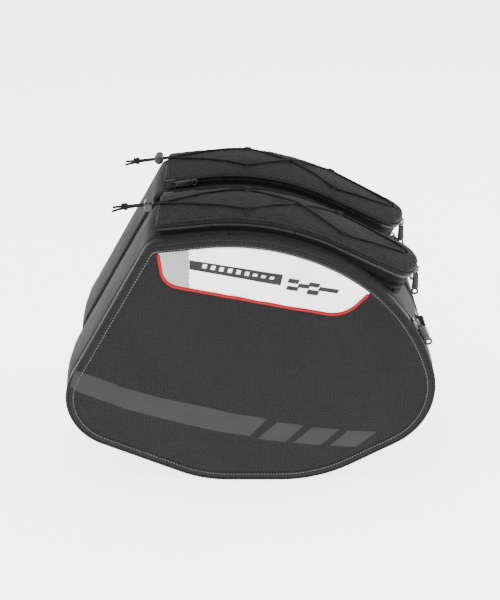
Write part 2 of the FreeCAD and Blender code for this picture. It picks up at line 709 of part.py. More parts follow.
def strap_pieces(add):
    tall = Part.Face(Part.Wire(Part.makeCircle(SHOULDER_R + PATCH_T, at(SHOULDER_C), V(0, 1, 0))))
    short = Part.Face(Part.Wire(Part.makeCircle(SHOULDER_R, at(SHOULDER_C), V(0, 1, 0))))
    patch = across(tall, PATCH_W[0], PATCH_W[1]).cut(across(short, 0.0, 300.0)).common(sector(*PATCH_A))
    a = math.radians(BUCKLE_A)
    out = V(math.cos(a), 0, math.sin(a))
    down = V(math.sin(a), 0, -math.cos(a))
    lift = PATCH_T + BUCKLE_T / 2.0 + 1.7
    mid_w = (PATCH_W[0] + PATCH_W[1]) / 2.0
    pivot = V(SHOULDER_C[0], -mid_w, SHOULDER_C[1]) + out * (SHOULDER_R + lift)
    seat = frame_at(pivot, down, out)
    half = BUCKLE_W / 2.0 - 4.0
    outer = block(-3.8, 3.8, -half, half, -lift + PATCH_T * 0.5, 3.8)
    outer = outer.makeFillet(2.4, [e for e in outer.Edges if abs(e.valueAt(0).z - 3.8) < 1e-6
                                   and abs(e.tangentAt(0).y) > 0.9])
    eye = rod(V(0, -half - 1, 0), V(0, half + 1, 0), BUCKLE_BAR_R + 0.6)
    add("anchor_patch", one(patch.fuse(placed(outer.cut(eye), seat))))

    side = BUCKLE_W / 2.0
    frame = block(-2.4, BUCKLE_H, -side, side, -BUCKLE_T / 2.0, BUCKLE_T / 2.0)
    frame = frame.makeFillet(2.0, [e for e in frame.Edges if abs(e.tangentAt(0).z) > 0.9])
    for x0, x1 in ((-3.0, 5.0), (8.0, 11.0), (14.5, 18.5)):
        frame = frame.cut(block(x0, x1, -side + 3.2, side - 3.2, -9.0, 9.0))
    bar = rod(V(0, -side + 1.0, 0), V(0, side - 1.0, 0), BUCKLE_BAR_R)
    add("anchor_buckle", placed(one(frame.fuse(bar)), seat))

    link = block(-25.0, 25.0, -BACK_W, -BACK_W + 1.8, 190.0, 318.0)
    link = link.makeFillet(6.0, [e for e in link.Edges if abs(e.tangentAt(0).y) > 0.9])
    add("link_strap", link)


# ---- build and export ----------------------------------------------------------
def build():
    pieces = {}

    def add(name, shape):
        pieces[name] = shape

    for step in (body_pieces, panel_pieces, crown_pieces, zip_pieces, lacing_pieces, strap_pieces):
        step(add)
    return pieces


def main():
    os.makedirs("parts", exist_ok=True)
    pieces = build()
    box = FreeCAD.BoundBox()
    for name, shape in pieces.items():
        if not shape.isValid():
            print("not valid:", name)
        shape.exportStep("parts/left_%s.step" % name)
        twin = shape.mirror(V(0, 0, 0), V(0, 1, 0))
        twin.exportStep("parts/right_%s.step" % name)
        if name != "cord_tails":
            box.add(shape.BoundBox)
            box.add(twin.BoundBox)
        print("%-18s %8.1f cm3" % (name, shape.Volume / 1000.0), len(shape.Solids), len(shape.Faces))
    print("box", [round(v, 2) for v in (box.XMin, box.XMax, box.YMin, box.YMax, box.ZMin, box.ZMax)])
    for label, p in (("shoulder centre", at(SHOULDER_C)), ("fold front", at(FOLD_A)), ("fold rear", at(FOLD_B)),
                     ("end centre", crown_point(END_C_S, CROWN_MID_W, ZIP_MID)),
                     ("crown slider", crown_point(S_END, CROWN_MID_W, ZIP_MID)),
                     ("front slider", crown_point(FRONT_SLIDER_S, CROWN_IN_W, ZIP_MID)),
                     ("lock", crown_point(LOCK_S, LACE_MID_W, LACE_O))):
        print(label, [round(c, 3) for c in p])
    print("tail dir", round(F2X, 5), round(F2Z, 5), "front dir", round(F1X, 5), round(F1Z, 5), "S", S_ARC, S_TAIL, S_END)


main()
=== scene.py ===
"""Linked pair of soft saddlebags: fabric, padding, zips, cords and trim on the fixed frame."""
import math

import bmesh
import bpy
import numpy as np
from mathutils import Matrix, Vector
from mathutils.bvhtree import BVHTree


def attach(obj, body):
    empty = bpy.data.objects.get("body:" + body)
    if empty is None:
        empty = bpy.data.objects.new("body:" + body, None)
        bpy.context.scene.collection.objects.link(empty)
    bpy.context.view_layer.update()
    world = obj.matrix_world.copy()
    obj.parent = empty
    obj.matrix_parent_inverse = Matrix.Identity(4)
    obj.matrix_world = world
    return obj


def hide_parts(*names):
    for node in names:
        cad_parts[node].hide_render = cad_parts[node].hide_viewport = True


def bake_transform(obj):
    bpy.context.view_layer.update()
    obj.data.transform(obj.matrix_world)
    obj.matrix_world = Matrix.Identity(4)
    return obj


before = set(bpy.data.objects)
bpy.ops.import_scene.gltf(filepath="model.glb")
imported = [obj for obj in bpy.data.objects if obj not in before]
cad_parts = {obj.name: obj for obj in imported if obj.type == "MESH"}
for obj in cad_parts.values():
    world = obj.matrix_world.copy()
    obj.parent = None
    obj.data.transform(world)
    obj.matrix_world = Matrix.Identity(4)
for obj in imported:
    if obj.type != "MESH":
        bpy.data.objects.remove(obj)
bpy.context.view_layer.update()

bl_info = {
    "name": "Saddlebag Pair",
    "version": (1, 0, 0),
    "blender": (4, 5, 0),
    "location": "3D View > Sidebar > Saddlebags",
    "description": "Builds the sewn, padded and moulded pieces of a linked pair of saddlebags",
    "category": "Object",
}

MM = 0.001
SIDES = ("left", "right")

# ---- the bag's lines, millimetres -------------------------------------------
BACK_W = 18.0
BACK_T = 10.0
GUSSET_EDGE_W = 143.0
DOOR_RIM_W = 152.0
FACE_W = 163.0
ROLL = 8.0
BORDER = 12.0
ZIP_W = 147.5

# side view: corner x, z and radius, from the bottom front round over the top
BAG_CORNERS = (
    (-61.8, 0.0, 160.0),
    (-264.6, 85.7, 70.0),
    (-123.1, 334.0, 22.0),
    (26.3, 349.7, 290.0),
    (197.4, 266.5, 246.6),
    (253.8, 92.8, 92.0),
    (88.8, 0.0, 190.0),
)
PANEL_CENTRE = np.array((8.0, 168.0))
REFLECTOR_CORNERS = ((-111.1, 328.0, 0.0), (-105.1, 283.0, 22.0), (114.9, 240.0, 40.0), (152.9, 278.0, 0.0))
FOLD_FRONT = np.array((-231.1, 120.0))
FOLD_REAR = np.array((234.9, 150.0))
FOLD_ALONG = (FOLD_REAR - FOLD_FRONT) / np.linalg.norm(FOLD_REAR - FOLD_FRONT)
FOLD_UP = np.array((-FOLD_ALONG[1], FOLD_ALONG[0]))

# crown, in its own measures: s back along the top, w out from the middle, o off the top
CROWN_IN_W = 26.0
CROWN_OUT_W = 140.0
CROWN_MID_W = 83.0
CROWN_END_R = 75.0
CROWN_CORNER_R = 26.0
CROWN_START = np.array((-113.1, 335.05))
S_ARC = 57.2
S_TAIL = 218.81
S_END = 334.84
TOP_R = 290.0
FRONT_RUN = np.array((0.99452, 0.10451))
REAR_RUN = np.array((0.89931, -0.4373))
FRONT_UP = np.array((-FRONT_RUN[1], FRONT_RUN[0]))
REAR_UP = np.array((-REAR_RUN[1], REAR_RUN[0]))
FRONT_SLOPE = math.atan2(FRONT_RUN[1], FRONT_RUN[0])
ARC_CENTRE = CROWN_START + FRONT_RUN * S_ARC - FRONT_UP * TOP_R
BELLOWS_TOP = 5.0
ZIP_HALF = 2.2
ZIP_MID = 8.1
CROWN_BASE = 11.2
CROWN_TOP = 22.7
CREST_R = 185.0
CORD_R = 1.5
LACE_LOW = 1.6
LACE_O = 24.203
LOOP_OUT_W = 118.0 - 2.24
LOOP_IN_W = 48.0 + 2.24

# the rear shoulder's arc in the side view, millimetres, and the studio camera, metres
SHOULDER_CENTRE = np.array((-4.757, 90.593))
SHOULDER_R = 246.6
CAMERA_PLACE = (0.0, -1.5060, 0.8875)
CAMERA_AIM = (0.0, 0.0, 0.1852)


# ---- lines and surfaces -------------------------------------------------------
def bend(before, corner, after):
    """Where the arc that rounds a corner starts and ends, and its centre."""
    c = Vector(corner[:2])
    u = (Vector(before[:2]) - c).normalized()
    v = (Vector(after[:2]) - c).normalized()
    half = u.angle(v) / 2
    run = corner[2] / math.tan(half)
    return c + u * run, c + v * run, c + (u + v).normalized() * (corner[2] / math.sin(half))


def spin(bm, geom, centre, axis, angle, steps, merge):
    """Spin geometry about an axis, in place and without copies."""
    bmesh.ops.spin(
        bm, geom=geom, cent=centre, axis=axis, dvec=(0, 0, 0), angle=angle, space=Matrix.Identity(4),
        steps=steps, use_merge=merge, use_normal_flip=False, use_duplicate=False,
    )


def trace(corners, closed):
    """Points of a line of straight runs and spun arcs through corners (a, b, radius)."""
    bm = bmesh.new()
    count = len(corners)
    if not closed:
        bm.verts.new((corners[0][0], corners[0][1], 0))
    for i in range(count) if closed else range(1, count - 1):
        first, last, centre = bend(corners[i - 1], corners[i], corners[(i + 1) % count])
        a = (first - centre).to_3d()
        b = (last - centre).to_3d()
        tip = bm.verts.new(first.to_3d())
        turn = a.angle(b)
        steps = max(3, round(turn * corners[i][2] / 3.0))
        spin(bm, [tip], centre.to_3d(), a.cross(b).normalized(), turn, steps, False)
    if not closed:
        bm.verts.new((corners[-1][0], corners[-1][1], 0))
    points = np.array([v.co[:2] for v in bm.verts])
    bm.free()
    return points


class Track:
    """A drawn line that gives points, directions and outward normals at lengths along it."""

    def __init__(self, corners, closed=True):
        p = trace(corners, closed)
        self.closed = closed
        self.p = np.vstack([p, p[:1]]) if closed else p
        step = np.diff(self.p, axis=0)
        size = np.hypot(step[:, 0], step[:, 1])
        self.s = np.concatenate([[0.0], np.cumsum(size)])
        self.length = float(self.s[-1])
        way = step / size[:, None]
        ahead = np.vstack([way, way[:1] if closed else way[-1:]])
        behind = np.vstack([way[-1:] if closed else way[:1], way])
        mean = ahead + behind
        self.t = mean / np.hypot(mean[:, 0], mean[:, 1])[:, None]

    def at(self, s):
        s = np.mod(s, self.length) if self.closed else np.clip(s, 0, self.length)
        a = np.stack([np.interp(s, self.s, self.p[:, k]) for k in (0, 1)], -1)
        t = np.stack([np.interp(s, self.s, self.t[:, k]) for k in (0, 1)], -1)
        t /= np.linalg.norm(t, axis=-1)[..., None]
        return a, t, np.stack([-t[..., 1], t[..., 0]], -1)


SIDE = Track(BAG_CORNERS)


def above_fold(p):
    return (p - FOLD_FRONT) @ FOLD_UP


def door_span(trim=1.0):
    """The part of the side view's length that lies above the fold."""
    s = np.linspace(0, SIDE.length, 3000)
    up = s[above_fold(SIDE.at(s)[0]) > trim]
    return float(up.min()), float(up.max())


def smooth(x):
    x = np.clip(x, 0, 1)
    return x * x * (3 - 2 * x)


def ripple(a, b, size, seed=0.0):
    """Slow uneven waves over a cloth, about -1 to 1, with a and b in millimetres."""
    h = 0
    for k in range(5):
        turn = 2.399 * (k + 1) + seed
        wave = size * (0.62 + 0.31 * math.sin(7.1 * (k + 1) + seed))
        warp = 0.7 * np.sin(2 * math.pi * (a * math.sin(turn) - b * math.cos(turn)) / (wave * 2.7) + k)
        h = h + np.sin(2 * math.pi * (a * math.cos(turn) + b * math.sin(turn)) / wave + warp + 1.7 * k)
    return h / 3.2


RIM_P, _, RIM_N = SIDE.at(np.linspace(0, SIDE.length, 900, endpoint=False))
RIM = RIM_P - RIM_N * BORDER - PANEL_CENTRE
RIM_ORDER = np.argsort(np.arctan2(RIM[:, 1], RIM[:, 0]))
RIM_TURN = np.arctan2(RIM[:, 1], RIM[:, 0])[RIM_ORDER]
RIM_SPAN = np.linalg.norm(RIM, axis=1)[RIM_ORDER]


def rim_depth(x, z):
    """Distance from the outer panel's middle, and that distance at the bound rim in the same direction."""
    dx, dz = x - PANEL_CENTRE[0], z - PANEL_CENTRE[1]
    return np.hypot(dx, dz), np.interp(np.arctan2(dz, dx), RIM_TURN, RIM_SPAN, period=2 * math.pi)


def panel_level(x, z):
    """How far out from the middle plane the outer panel's face stands."""
    reach, rim = rim_depth(x, z)
    t = np.clip(1 - reach / rim, 0, 1)
    rise = bpy.context.scene.bag_sizes.panel_rise / MM
    wave = ripple(x, z, 150.0, 0.4) * 0.55 + ripple(x, z, 46.0, 2.2) * 0.12
    return FACE_W + rise * (1 - (1 - t) ** 2) + wave * smooth(t * 3)


def upright(p, w):
    """Points of the side view set w out from the middle plane, on the left bag."""
    return np.stack([p[:, 0], 0 * p[:, 0] - w, p[:, 1]], -1)


def crown_point(s, w, o):
    """Point at s along the crown's line, w out from the middle and o off the top, left bag."""
    s, w, o = (np.asarray(a, float) for a in (s, w, o))
    a = FRONT_SLOPE - np.clip(s - S_ARC, 0, S_TAIL - S_ARC) / TOP_R
    run = np.where(s < S_ARC, s - S_ARC, np.maximum(s - S_TAIL, 0))
    x = ARC_CENTRE[0] - np.sin(a) * (TOP_R + o) + np.cos(a) * run
    z = ARC_CENTRE[1] + np.cos(a) * (TOP_R + o) + np.sin(a) * run
    return np.stack([x, -w + 0 * x, z], -1)


def on_crown(s, w, h):
    """Point h above the arched top of the crown at (s, w), square to the cloth."""
    lean = np.arcsin((np.asarray(w, float) - CROWN_MID_W) / CREST_R)
    level = CROWN_TOP - CREST_R * (1 - np.cos(lean))
    return crown_point(s, w + h * np.sin(lean), level + h * np.cos(lean))


def crown_line(p, o):
    """Plan points (s, w) set o off the crown's line."""
    return crown_point(p[:, 0], p[:, 1], o)


def crown_top(p, h):
    """Plan points (s, w) set h above the crown's arched top."""
    return on_crown(p[:, 0], p[:, 1], h)


def lengths(line):
    """Length along a flat line up to each of its points."""
    return np.concatenate([[0], np.cumsum(np.hypot(*np.diff(line, axis=0).T))])


def share_of(line, u):
    """Points at the shares u of a flat line's length."""
    run = lengths(line)
    return np.stack([np.interp(u * run[-1], run, line[:, k]) for k in (0, 1)], -1)


def crown_corners(inset=0.0, closed=True):
    """Plan of the crown as corners (s, w, radius): straight sides and a bowed rear end."""
    half = (CROWN_OUT_W - CROWN_IN_W) / 2 - inset
    end_r, corner_r = CROWN_END_R - inset, CROWN_CORNER_R - inset
    swing = math.asin((half - corner_r) / (end_r - corner_r))
    middle = S_END - CROWN_END_R
    back = middle + end_r * math.cos(swing) - (half - end_r * math.sin(swing)) * math.tan(swing)
    low, high = CROWN_MID_W - half, CROWN_MID_W + half
    bow = (middle + end_r / math.cos(swing), CROWN_MID_W, end_r)
    tail = [(back, high, corner_r), bow, (back, low, corner_r)]
    if closed:
        return [(inset, low, 7.0), (inset, high, 7.0)] + tail
    return [(0.0, high, 0.0)] + tail + [(0.0, low, 0.0)]


# ---- cloth and small pieces as meshes --------------------------------------------
def facing(bm, inside):
    """Turn the faces consistently, away from a point inside."""
    bmesh.ops.recalc_face_normals(bm, faces=bm.faces)
    if inside is not None:
        lean = sum(f.normal.dot(f.calc_center_median() - inside) * f.calc_area() for f in bm.faces)
        if lean < 0:
            bmesh.ops.reverse_faces(bm, faces=bm.faces)


def cloth(name, columns, rows, place, flat=None, inside=None):
    """A grid of cloth laid where place(u, v) says; u and v run 0 to 1, flat gives its cut size."""
    bm = bmesh.new()
    bmesh.ops.create_grid(bm, x_segments=columns, y_segments=rows, size=0.5)
    mesh = bpy.data.meshes.new(name)
    bm.to_mesh(mesh)
    bm.free()
    co = np.empty(len(mesh.vertices) * 3)
    mesh.vertices.foreach_get("co", co)
    u, v = ((c - c.min()) / (c.max() - c.min()) for c in co.reshape(-1, 3).T[:2])
    mesh.vertices.foreach_set("co", (place(u, v) * MM).ravel())
    if flat is not None:
        spots = np.empty(len(mesh.loops), int)
        mesh.loops.foreach_get("vertex_index", spots)
        cut = np.stack(flat(u, v), -1)[spots] * MM
        mesh.uv_layers.new(name="Cut").data.foreach_set("uv", cut.ravel())
    bm = bmesh.new()
    bm.from_mesh(mesh)
    bmesh.ops.remove_doubles(bm, verts=bm.verts, dist=2e-6)
    facing(bm, None if inside is None else Vector(inside) * MM)
    bm.to_mesh(mesh)
    bm.free()
    mesh.shade_smooth()
    return shown(name, mesh)


def shown(name, mesh):
    """Put a mesh or other data into the scene as a piece."""
    piece = bpy.data.objects.new(name, mesh)
    bpy.context.scene.collection.objects.link(piece)
    return piece


def made(name, bm, smooth=False):
    """Put a finished bmesh into the scene as a piece."""
    mesh = bpy.data.meshes.new(name)
    bm.to_mesh(mesh)
    bm.free()
    if smooth:
        mesh.shade_smooth()
    return shown(name, mesh)


def spun_ring(bm, radius, wire, steps, deep=1.0):
    """Add a ring about z to a bmesh and give its vertices; deep stretches its section along z."""
    old = set(bm.verts)
    section = bmesh.ops.create_circle(bm, segments=10, radius=wire)["verts"]
    bmesh.ops.rotate(bm, verts=section, cent=(0, 0, 0), matrix=Matrix.Rotation(math.pi / 2, 3, "X"))
    bmesh.ops.scale(bm, vec=(1, 1, deep), verts=section)
    bmesh.ops.translate(bm, verts=section, vec=(radius, 0, 0))
    edges = list(dict.fromkeys(e for v in section for e in v.link_edges))
    spin(bm, section + edges, (0, 0, 0), (0, 0, 1), 2 * math.pi, steps, True)
    return [v for v in bm.verts if v not in old]


def bead(name, line, radius, side, sides=10, closed=False):
    """A round bead along a line of points, with side pointing across it."""
    count = len(line)
    if closed:
        line = np.vstack([line, line[:1]])
        way = np.roll(line[:-1], -1, 0) - np.roll(line[:-1], 1, 0)
        way = np.vstack([way, way[:1]])
    else:
        way = np.gradient(line, axis=0)
    way /= np.linalg.norm(way, axis=1)[:, None]
    side = np.broadcast_to(np.asarray(side, float), line.shape)
    across = side - way * np.sum(side * way, 1)[:, None]
    across /= np.linalg.norm(across, axis=1)[:, None]
    up = np.cross(way, across)
    run = np.concatenate([[0], np.cumsum(np.linalg.norm(np.diff(line, axis=0), axis=1))])
    near = np.minimum(run, run[-1] - run) / radius
    swell = np.ones(len(line)) if closed else np.sqrt(np.clip(1 - (1 - np.clip(near, 0, 1)) ** 2, 0, 1))
    spans = len(line) - 1

    def place(u, v):
        i = np.rint(u * spans).astype(int)
        turn = (2 * math.pi * v)[:, None]
        r = (radius * swell[i])[:, None]
        return line[i] + across[i] * np.cos(turn) * r + up[i] * np.sin(turn) * r

    def flat(u, v):
        return run[np.rint(u * spans).astype(int)], v * 2 * math.pi * radius

    return cloth(name, spans, sides, place, flat)


def blocks(name, centres, along, up, size, waist=None):
    """Small blocks set along a line, stitches or zip teeth, narrowed at the top by waist."""
    bm = bmesh.new()
    for c, x, z in zip(centres, along, up):
        x = Vector(x).normalized()
        y = Vector(z).cross(x).normalized()
        turn = Matrix((x, y, x.cross(y))).transposed().to_4x4()
        turn.translation = Vector(c) * MM
        form = turn @ Matrix.Diagonal((*[a * MM for a in size], 1.0))
        block = bmesh.ops.create_cube(bm, size=1.0, matrix=form)["verts"]
        if waist:
            top = [v for v in block if (v.co - turn.translation).dot(x.cross(y)) > 0]
            bmesh.ops.scale(bm, vec=(waist, waist, 1), space=turn.inverted(), verts=top)
    return made(name, bm)


def bake(piece):
    """Apply a piece's modifiers to its mesh."""
    bpy.context.view_layer.update()
    graph = bpy.context.evaluated_depsgraph_get()
    done = piece.evaluated_get(graph)
    mesh = bpy.data.meshes.new_from_object(done, preserve_all_data_layers=True, depsgraph=graph)
    piece.modifiers.clear()
    piece.data = mesh
    return piece


def lined(piece, thickness):
    """Give a cloth its thickness, with the lining as second material on the inside."""
    wall = piece.modifiers.new("lining", "SOLIDIFY")
    wall.thickness = thickness * MM
    wall.offset = -1
    wall.material_offset = 1
    wall.material_offset_rim = 0
    return bake(piece)


def joined(pieces, name):
    """Several meshes as one piece, in their places."""
    bm = bmesh.new()
    finishes = []
    for piece in pieces:
        first = len(bm.faces)
        bm.from_mesh(piece.data)
        bm.faces.ensure_lookup_table()
        for face in bm.faces[first:]:
            own = piece.data.materials[face.material_index] if piece.data.materials else None
            if own not in finishes:
                finishes.append(own)
            face.material_index = finishes.index(own)
    for piece in pieces:
        bpy.data.objects.remove(piece)
    whole = made(name, bm)
    for own in finishes:
        whole.data.materials.append(own)
    return whole


def twin(piece, name):
    """The same piece for the right bag, mirrored through the middle plane."""
    bm = bmesh.new()
    bm.from_mesh(piece.data)
    bmesh.ops.scale(bm, vec=(1, -1, 1), verts=bm.verts)
    bmesh.ops.reverse_faces(bm, faces=bm.faces)
    other = made(name, bm)
    for own in piece.data.materials:
        other.data.materials.append(own)
    return other


def fit_pair(piece, name, nodes=(), body=None, hinge=False, lift=None):
    """Name a left piece, mirror it for the right bag, and tie both to their bodies; with hinge or lift they
    are only baked in place, and what lift gives back is not used.
    """
    piece.name = f"left_{name}"
    pair = (piece, twin(piece, f"right_{name}"))
    for side, own in zip(SIDES, pair):
        if nodes:
            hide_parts(*[f"{side}_{n}" for n in nodes])
        if hinge:
            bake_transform(own)
        elif lift is not None:
            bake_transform(own)
            lift(own).astype(np.float32)
        else:
            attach(own, f"{side}_{body}")
    return pair


def puff(piece, voxel, pressure, cap):
    """Close the shape as one skin, then blow it up as stuffed cloth by up to cap millimetres."""
    skin = piece.modifiers.new("skin", "REMESH")
    skin.mode = "VOXEL"
    skin.voxel_size = voxel * MM
    bake(piece)
    count = len(piece.data.vertices)
    rest = np.empty(count * 3)
    piece.data.vertices.foreach_get("co", rest)
    rest = rest.reshape(-1, 3)
    filling = piece.modifiers.new("filling", "CLOTH")
    filling.settings.quality = 6
    filling.settings.mass = 0.3
    filling.settings.use_pressure = True
    filling.settings.uniform_pressure_force = pressure
    filling.settings.effector_weights.gravity = 0
    for step in range(1, 21):
        bpy.context.scene.frame_set(step)
    done = piece.evaluated_get(bpy.context.evaluated_depsgraph_get())
    full = np.empty(count * 3)
    done.data.vertices.foreach_get("co", full)
    move = full.reshape(-1, 3) - rest
    size = np.linalg.norm(move, axis=1)[:, None]
    move *= np.minimum(1, cap * MM / np.maximum(size, 1e-9))
    piece.modifiers.clear()
    bpy.context.scene.frame_set(1)
    piece.data.vertices.foreach_set("co", (rest + move).ravel())
    finer = piece.modifiers.new("finer", "SUBSURF")
    finer.levels = finer.render_levels = 1
    bake(piece)
    piece.data.shade_smooth()
    return piece


def laid_on(piece, above, below, lift):
    """Where lines from above to below meet a piece, lifted a little, with the way out of it there."""
    bm = bmesh.new()
    bm.from_mesh(piece.data)
    tree = BVHTree.FromBMesh(bm)
    bm.free()
    spots, ways = [], []
    for a, b in zip(above * MM, below * MM):
        spot, way, _, _ = tree.ray_cast(Vector(a), Vector(b - a))
        if spot is None:
            spot, way = Vector((a + b) / 2), Vector(a - b).normalized()
        spots.append(np.array(spot) / MM + np.array(way) * lift)
        ways.append(way)
    return np.array(spots), np.array(ways)


def mesh_points(piece):
    co = np.empty(len(piece.data.vertices) * 3)
    piece.data.vertices.foreach_get("co", co)
    return co.reshape(-1, 3) / MM


# ---- finishes -----------------------------------------------------------------------
class Finish:
    """A node material being put together."""

    def __init__(self, name):
        self.material = bpy.data.materials.new(name)
        self.material.use_nodes = True
        self.tree = self.material.node_tree
        self.shader = self.tree.nodes["Principled BSDF"]

    def node(self, kind, inputs=(), **settings):
        node = self.tree.nodes.new(kind)
        for key, value in settings.items():
            setattr(node, key, value)
        for key, value in dict(inputs).items():
            if isinstance(value, bpy.types.NodeSocket):
                self.tree.links.new(value, node.inputs[key])
            else:
                node.inputs[key].default_value = value
        return node

    def math(self, operation, a, b=0.0):
        return self.node("ShaderNodeMath", {0: a, 1: b}, operation=operation).outputs[0]

    def add(self, a, b):
        return self.math("ADD", a, b)

    def minus(self, a, b):
        return self.math("SUBTRACT", a, b)

    def times(self, a, b):
        return self.math("MULTIPLY", a, b)

    def place(self, by_cut):
        """Pattern coordinates: the cloth's own cut, or the object's axes."""
        spot = self.node("ShaderNodeTexCoord")
        return spot.outputs["UV" if by_cut else "Object"]

    def noise(self, spot, scale, detail=3.0, roughness=0.55):
        values = {"Vector": spot, "Scale": scale, "Detail": detail, "Roughness": roughness}
        return self.node("ShaderNodeTexNoise", values).outputs[0]

    def ramp(self, value, low, high, first=0.0, last=1.0):
        values = {0: value, 1: first, 2: last, 3: low, 4: high}
        return self.node("ShaderNodeMapRange", values).outputs[0]

    def mixed(self, share, a, b):
        mix = self.node("ShaderNodeMix", {"Factor": share}, data_type="RGBA")
        for key, value in (("A", a), ("B", b)):
            socket = [i for i in mix.inputs if i.name == key and i.type == "RGBA"][0]
            if isinstance(value, bpy.types.NodeSocket):
                self.tree.links.new(value, socket)
            else:
                socket.default_value = (*value[:3], 1)
        return [o for o in mix.outputs if o.type == "RGBA"][0]

    def bump(self, height, distance, strength=1.0, under=None):
        values = {"Height": height, "Distance": distance, "Strength": strength}
        if under is not None:
            values["Normal"] = under
        return self.node("ShaderNodeBump", values).outputs[0]

    def set(self, **sockets):
        for key, value in sockets.items():
            socket = self.shader.inputs[key.replace("_", " ")]
            if isinstance(value, bpy.types.NodeSocket):
                self.tree.links.new(value, socket)
            else:
                socket.default_value = value
        return self.material


def axes(f, spot, by_cut):
    """Two running measures over the cloth, from its cut or slantwise from the object's axes."""
    parts = f.node("ShaderNodeSeparateXYZ", {0: spot}).outputs
    if by_cut:
        return parts[0], parts[1]
    return f.add(parts[0], parts[2]), f.add(parts[1], parts[2])


def threads(f, a, b, pitch):
    """Height of a plain weave whose yarns are pitch metres apart."""
    k = math.pi / pitch
    warp = f.math("SINE", f.times(a, k))
    weft = f.math("SINE", f.times(b, k))
    over = f.math("GREATER_THAN", f.times(warp, weft), 0.0)
    first = f.times(f.math("ABSOLUTE", warp), over)
    second = f.times(f.math("ABSOLUTE", weft), f.minus(1.0, over))
    return f.add(first, second)


def shade(colour, k):
    return tuple(min(1.0, c * k) for c in colour[:3])


def woven(name, colour, pitch, by_cut, sheen=0.015, rough=0.62, slant=False, relief=0.0005, contrast=0.75):
    """Synthetic cloth: yarns, faint uneven dye and soft creasing."""
    f = Finish(name)
    spot = f.place(by_cut)
    a, b = axes(f, spot, by_cut)
    if slant:
        a, b = f.add(a, b), f.minus(a, b)
    weave = threads(f, a, b, pitch)
    patches = f.noise(spot, 14.0)
    fibre = f.noise(spot, 420.0, 2.0, 0.7)
    tone = f.add(f.times(weave, contrast), f.times(fibre, 1.1))
    tone = f.add(tone, f.times(patches, 0.3))
    share = f.ramp(tone, 0.0, 1.0, contrast * 0.4 + 0.45, contrast + 0.9)
    base = f.mixed(share, shade(colour, 0.02), shade(colour, 4.0))
    creases = f.noise(spot, 38.0, 4.0)
    height = f.add(f.times(weave, relief), f.times(creases, 0.0012))
    return f.set(
        Base_Color=base, Roughness=f.ramp(patches, rough - 0.07, rough + 0.08),
        Normal=f.bump(height, 1.0, 0.55), Sheen_Weight=sheen, Sheen_Roughness=0.45, Specular_IOR_Level=0.05,
    )


def plastic(name, colour, rough=0.35, grain=0.00006, coat=0.0, metal=0.0):
    """Moulded or lacquered part with a fine grain and rubbed places."""
    f = Finish(name)
    spot = f.place(False)
    fine = f.noise(spot, 1800.0, 2.0)
    rubbed = f.noise(spot, 90.0, 4.0)
    base = f.mixed(f.ramp(rubbed, 0.0, 1.0, 0.35, 0.75), shade(colour, 0.8), shade(colour, 1.35))
    height = f.times(fine, grain)
    return f.set(
        Base_Color=base, Roughness=f.ramp(rubbed, rough - 0.08, rough + 0.12), Metallic=metal,
        Normal=f.bump(height, 1.0, 0.6), Coat_Weight=coat, Coat_Roughness=0.15,
    )


def silver_sheet(name, colour):
    """Pale reflective vinyl: clear gloss over bead-blasted silver, with soft pulls in it."""
    f = Finish(name)
    spot = f.place(True)
    pulls = f.noise(spot, 22.0, 2.0, 0.4)
    cells = f.node("ShaderNodeTexVoronoi", {"Vector": spot, "Scale": 700.0}).outputs[0]
    base = f.mixed(f.ramp(pulls, 0.0, 1.0, 0.3, 0.7), shade(colour, 0.86), shade(colour, 1.06))
    height = f.add(f.times(pulls, 0.004), f.times(cells, 0.00008))
    return f.set(
        Base_Color=base, Roughness=f.ramp(pulls, 0.22, 0.36), Metallic=0.1, Normal=f.bump(height, 1.0, 0.6),
        Coat_Weight=1.0, Coat_Roughness=0.08,
    )


def print_film(name, colour, rough):
    """Smooth film printed on the cloth, letting the weave show through."""
    f = Finish(name)
    spot = f.place(True)
    a, b = axes(f, spot, True)
    weave = threads(f, f.add(a, b), f.minus(a, b), 0.0011)
    patch = f.noise(spot, 30.0, 3.0)
    base = f.mixed(f.ramp(patch, 0.0, 1.0, 0.3, 0.7), shade(colour, 0.75), shade(colour, 1.3))
    height = f.add(f.times(weave, 0.0001), f.times(patch, 0.0007))
    return f.set(
        Base_Color=base, Roughness=f.ramp(patch, rough - 0.06, rough + 0.06), Normal=f.bump(height, 1.0, 0.5),
        Specular_IOR_Level=0.2, Coat_Weight=0.06, Coat_Roughness=0.3,
    )


def braid(name, colour, by_cut=False, pitch=0.0013, sheen=0.05):
    """Braided cord: slanting ribs both ways."""
    f = Finish(name)
    spot = f.place(by_cut)
    a, b = axes(f, spot, by_cut)
    if by_cut:
        a, b = f.add(a, b), f.minus(a, b)
    ribs = threads(f, a, b, pitch)
    base = f.mixed(f.ramp(ribs, 0.0, 1.0, 0.1, 0.9), shade(colour, 0.5), shade(colour, 1.5))
    return f.set(
        Base_Color=base, Roughness=f.ramp(ribs, 0.65, 0.5), Normal=f.bump(f.times(ribs, 0.0004), 1.0, 0.7),
        Sheen_Weight=sheen, Sheen_Roughness=0.4, Specular_IOR_Level=0.12,
    )


def pile(name, colour):
    """Hook-and-loop face: dense short loops."""
    f = Finish(name)
    spot = f.place(True)
    cells = f.node("ShaderNodeTexVoronoi", {"Vector": spot, "Scale": 620.0}).outputs[0]
    tufts = f.noise(spot, 120.0, 3.0)
    base = f.mixed(f.ramp(cells, 0.0, 1.0, 0.0, 0.8), shade(colour, 0.6), shade(colour, 1.8))
    height = f.add(f.times(cells, 0.0008), f.times(tufts, 0.0008))
    return f.set(
        Base_Color=base, Roughness=f.ramp(tufts, 0.85, 0.98), Normal=f.bump(height, 1.0, 0.8),
        Sheen_Weight=0.15, Sheen_Roughness=0.6,
    )


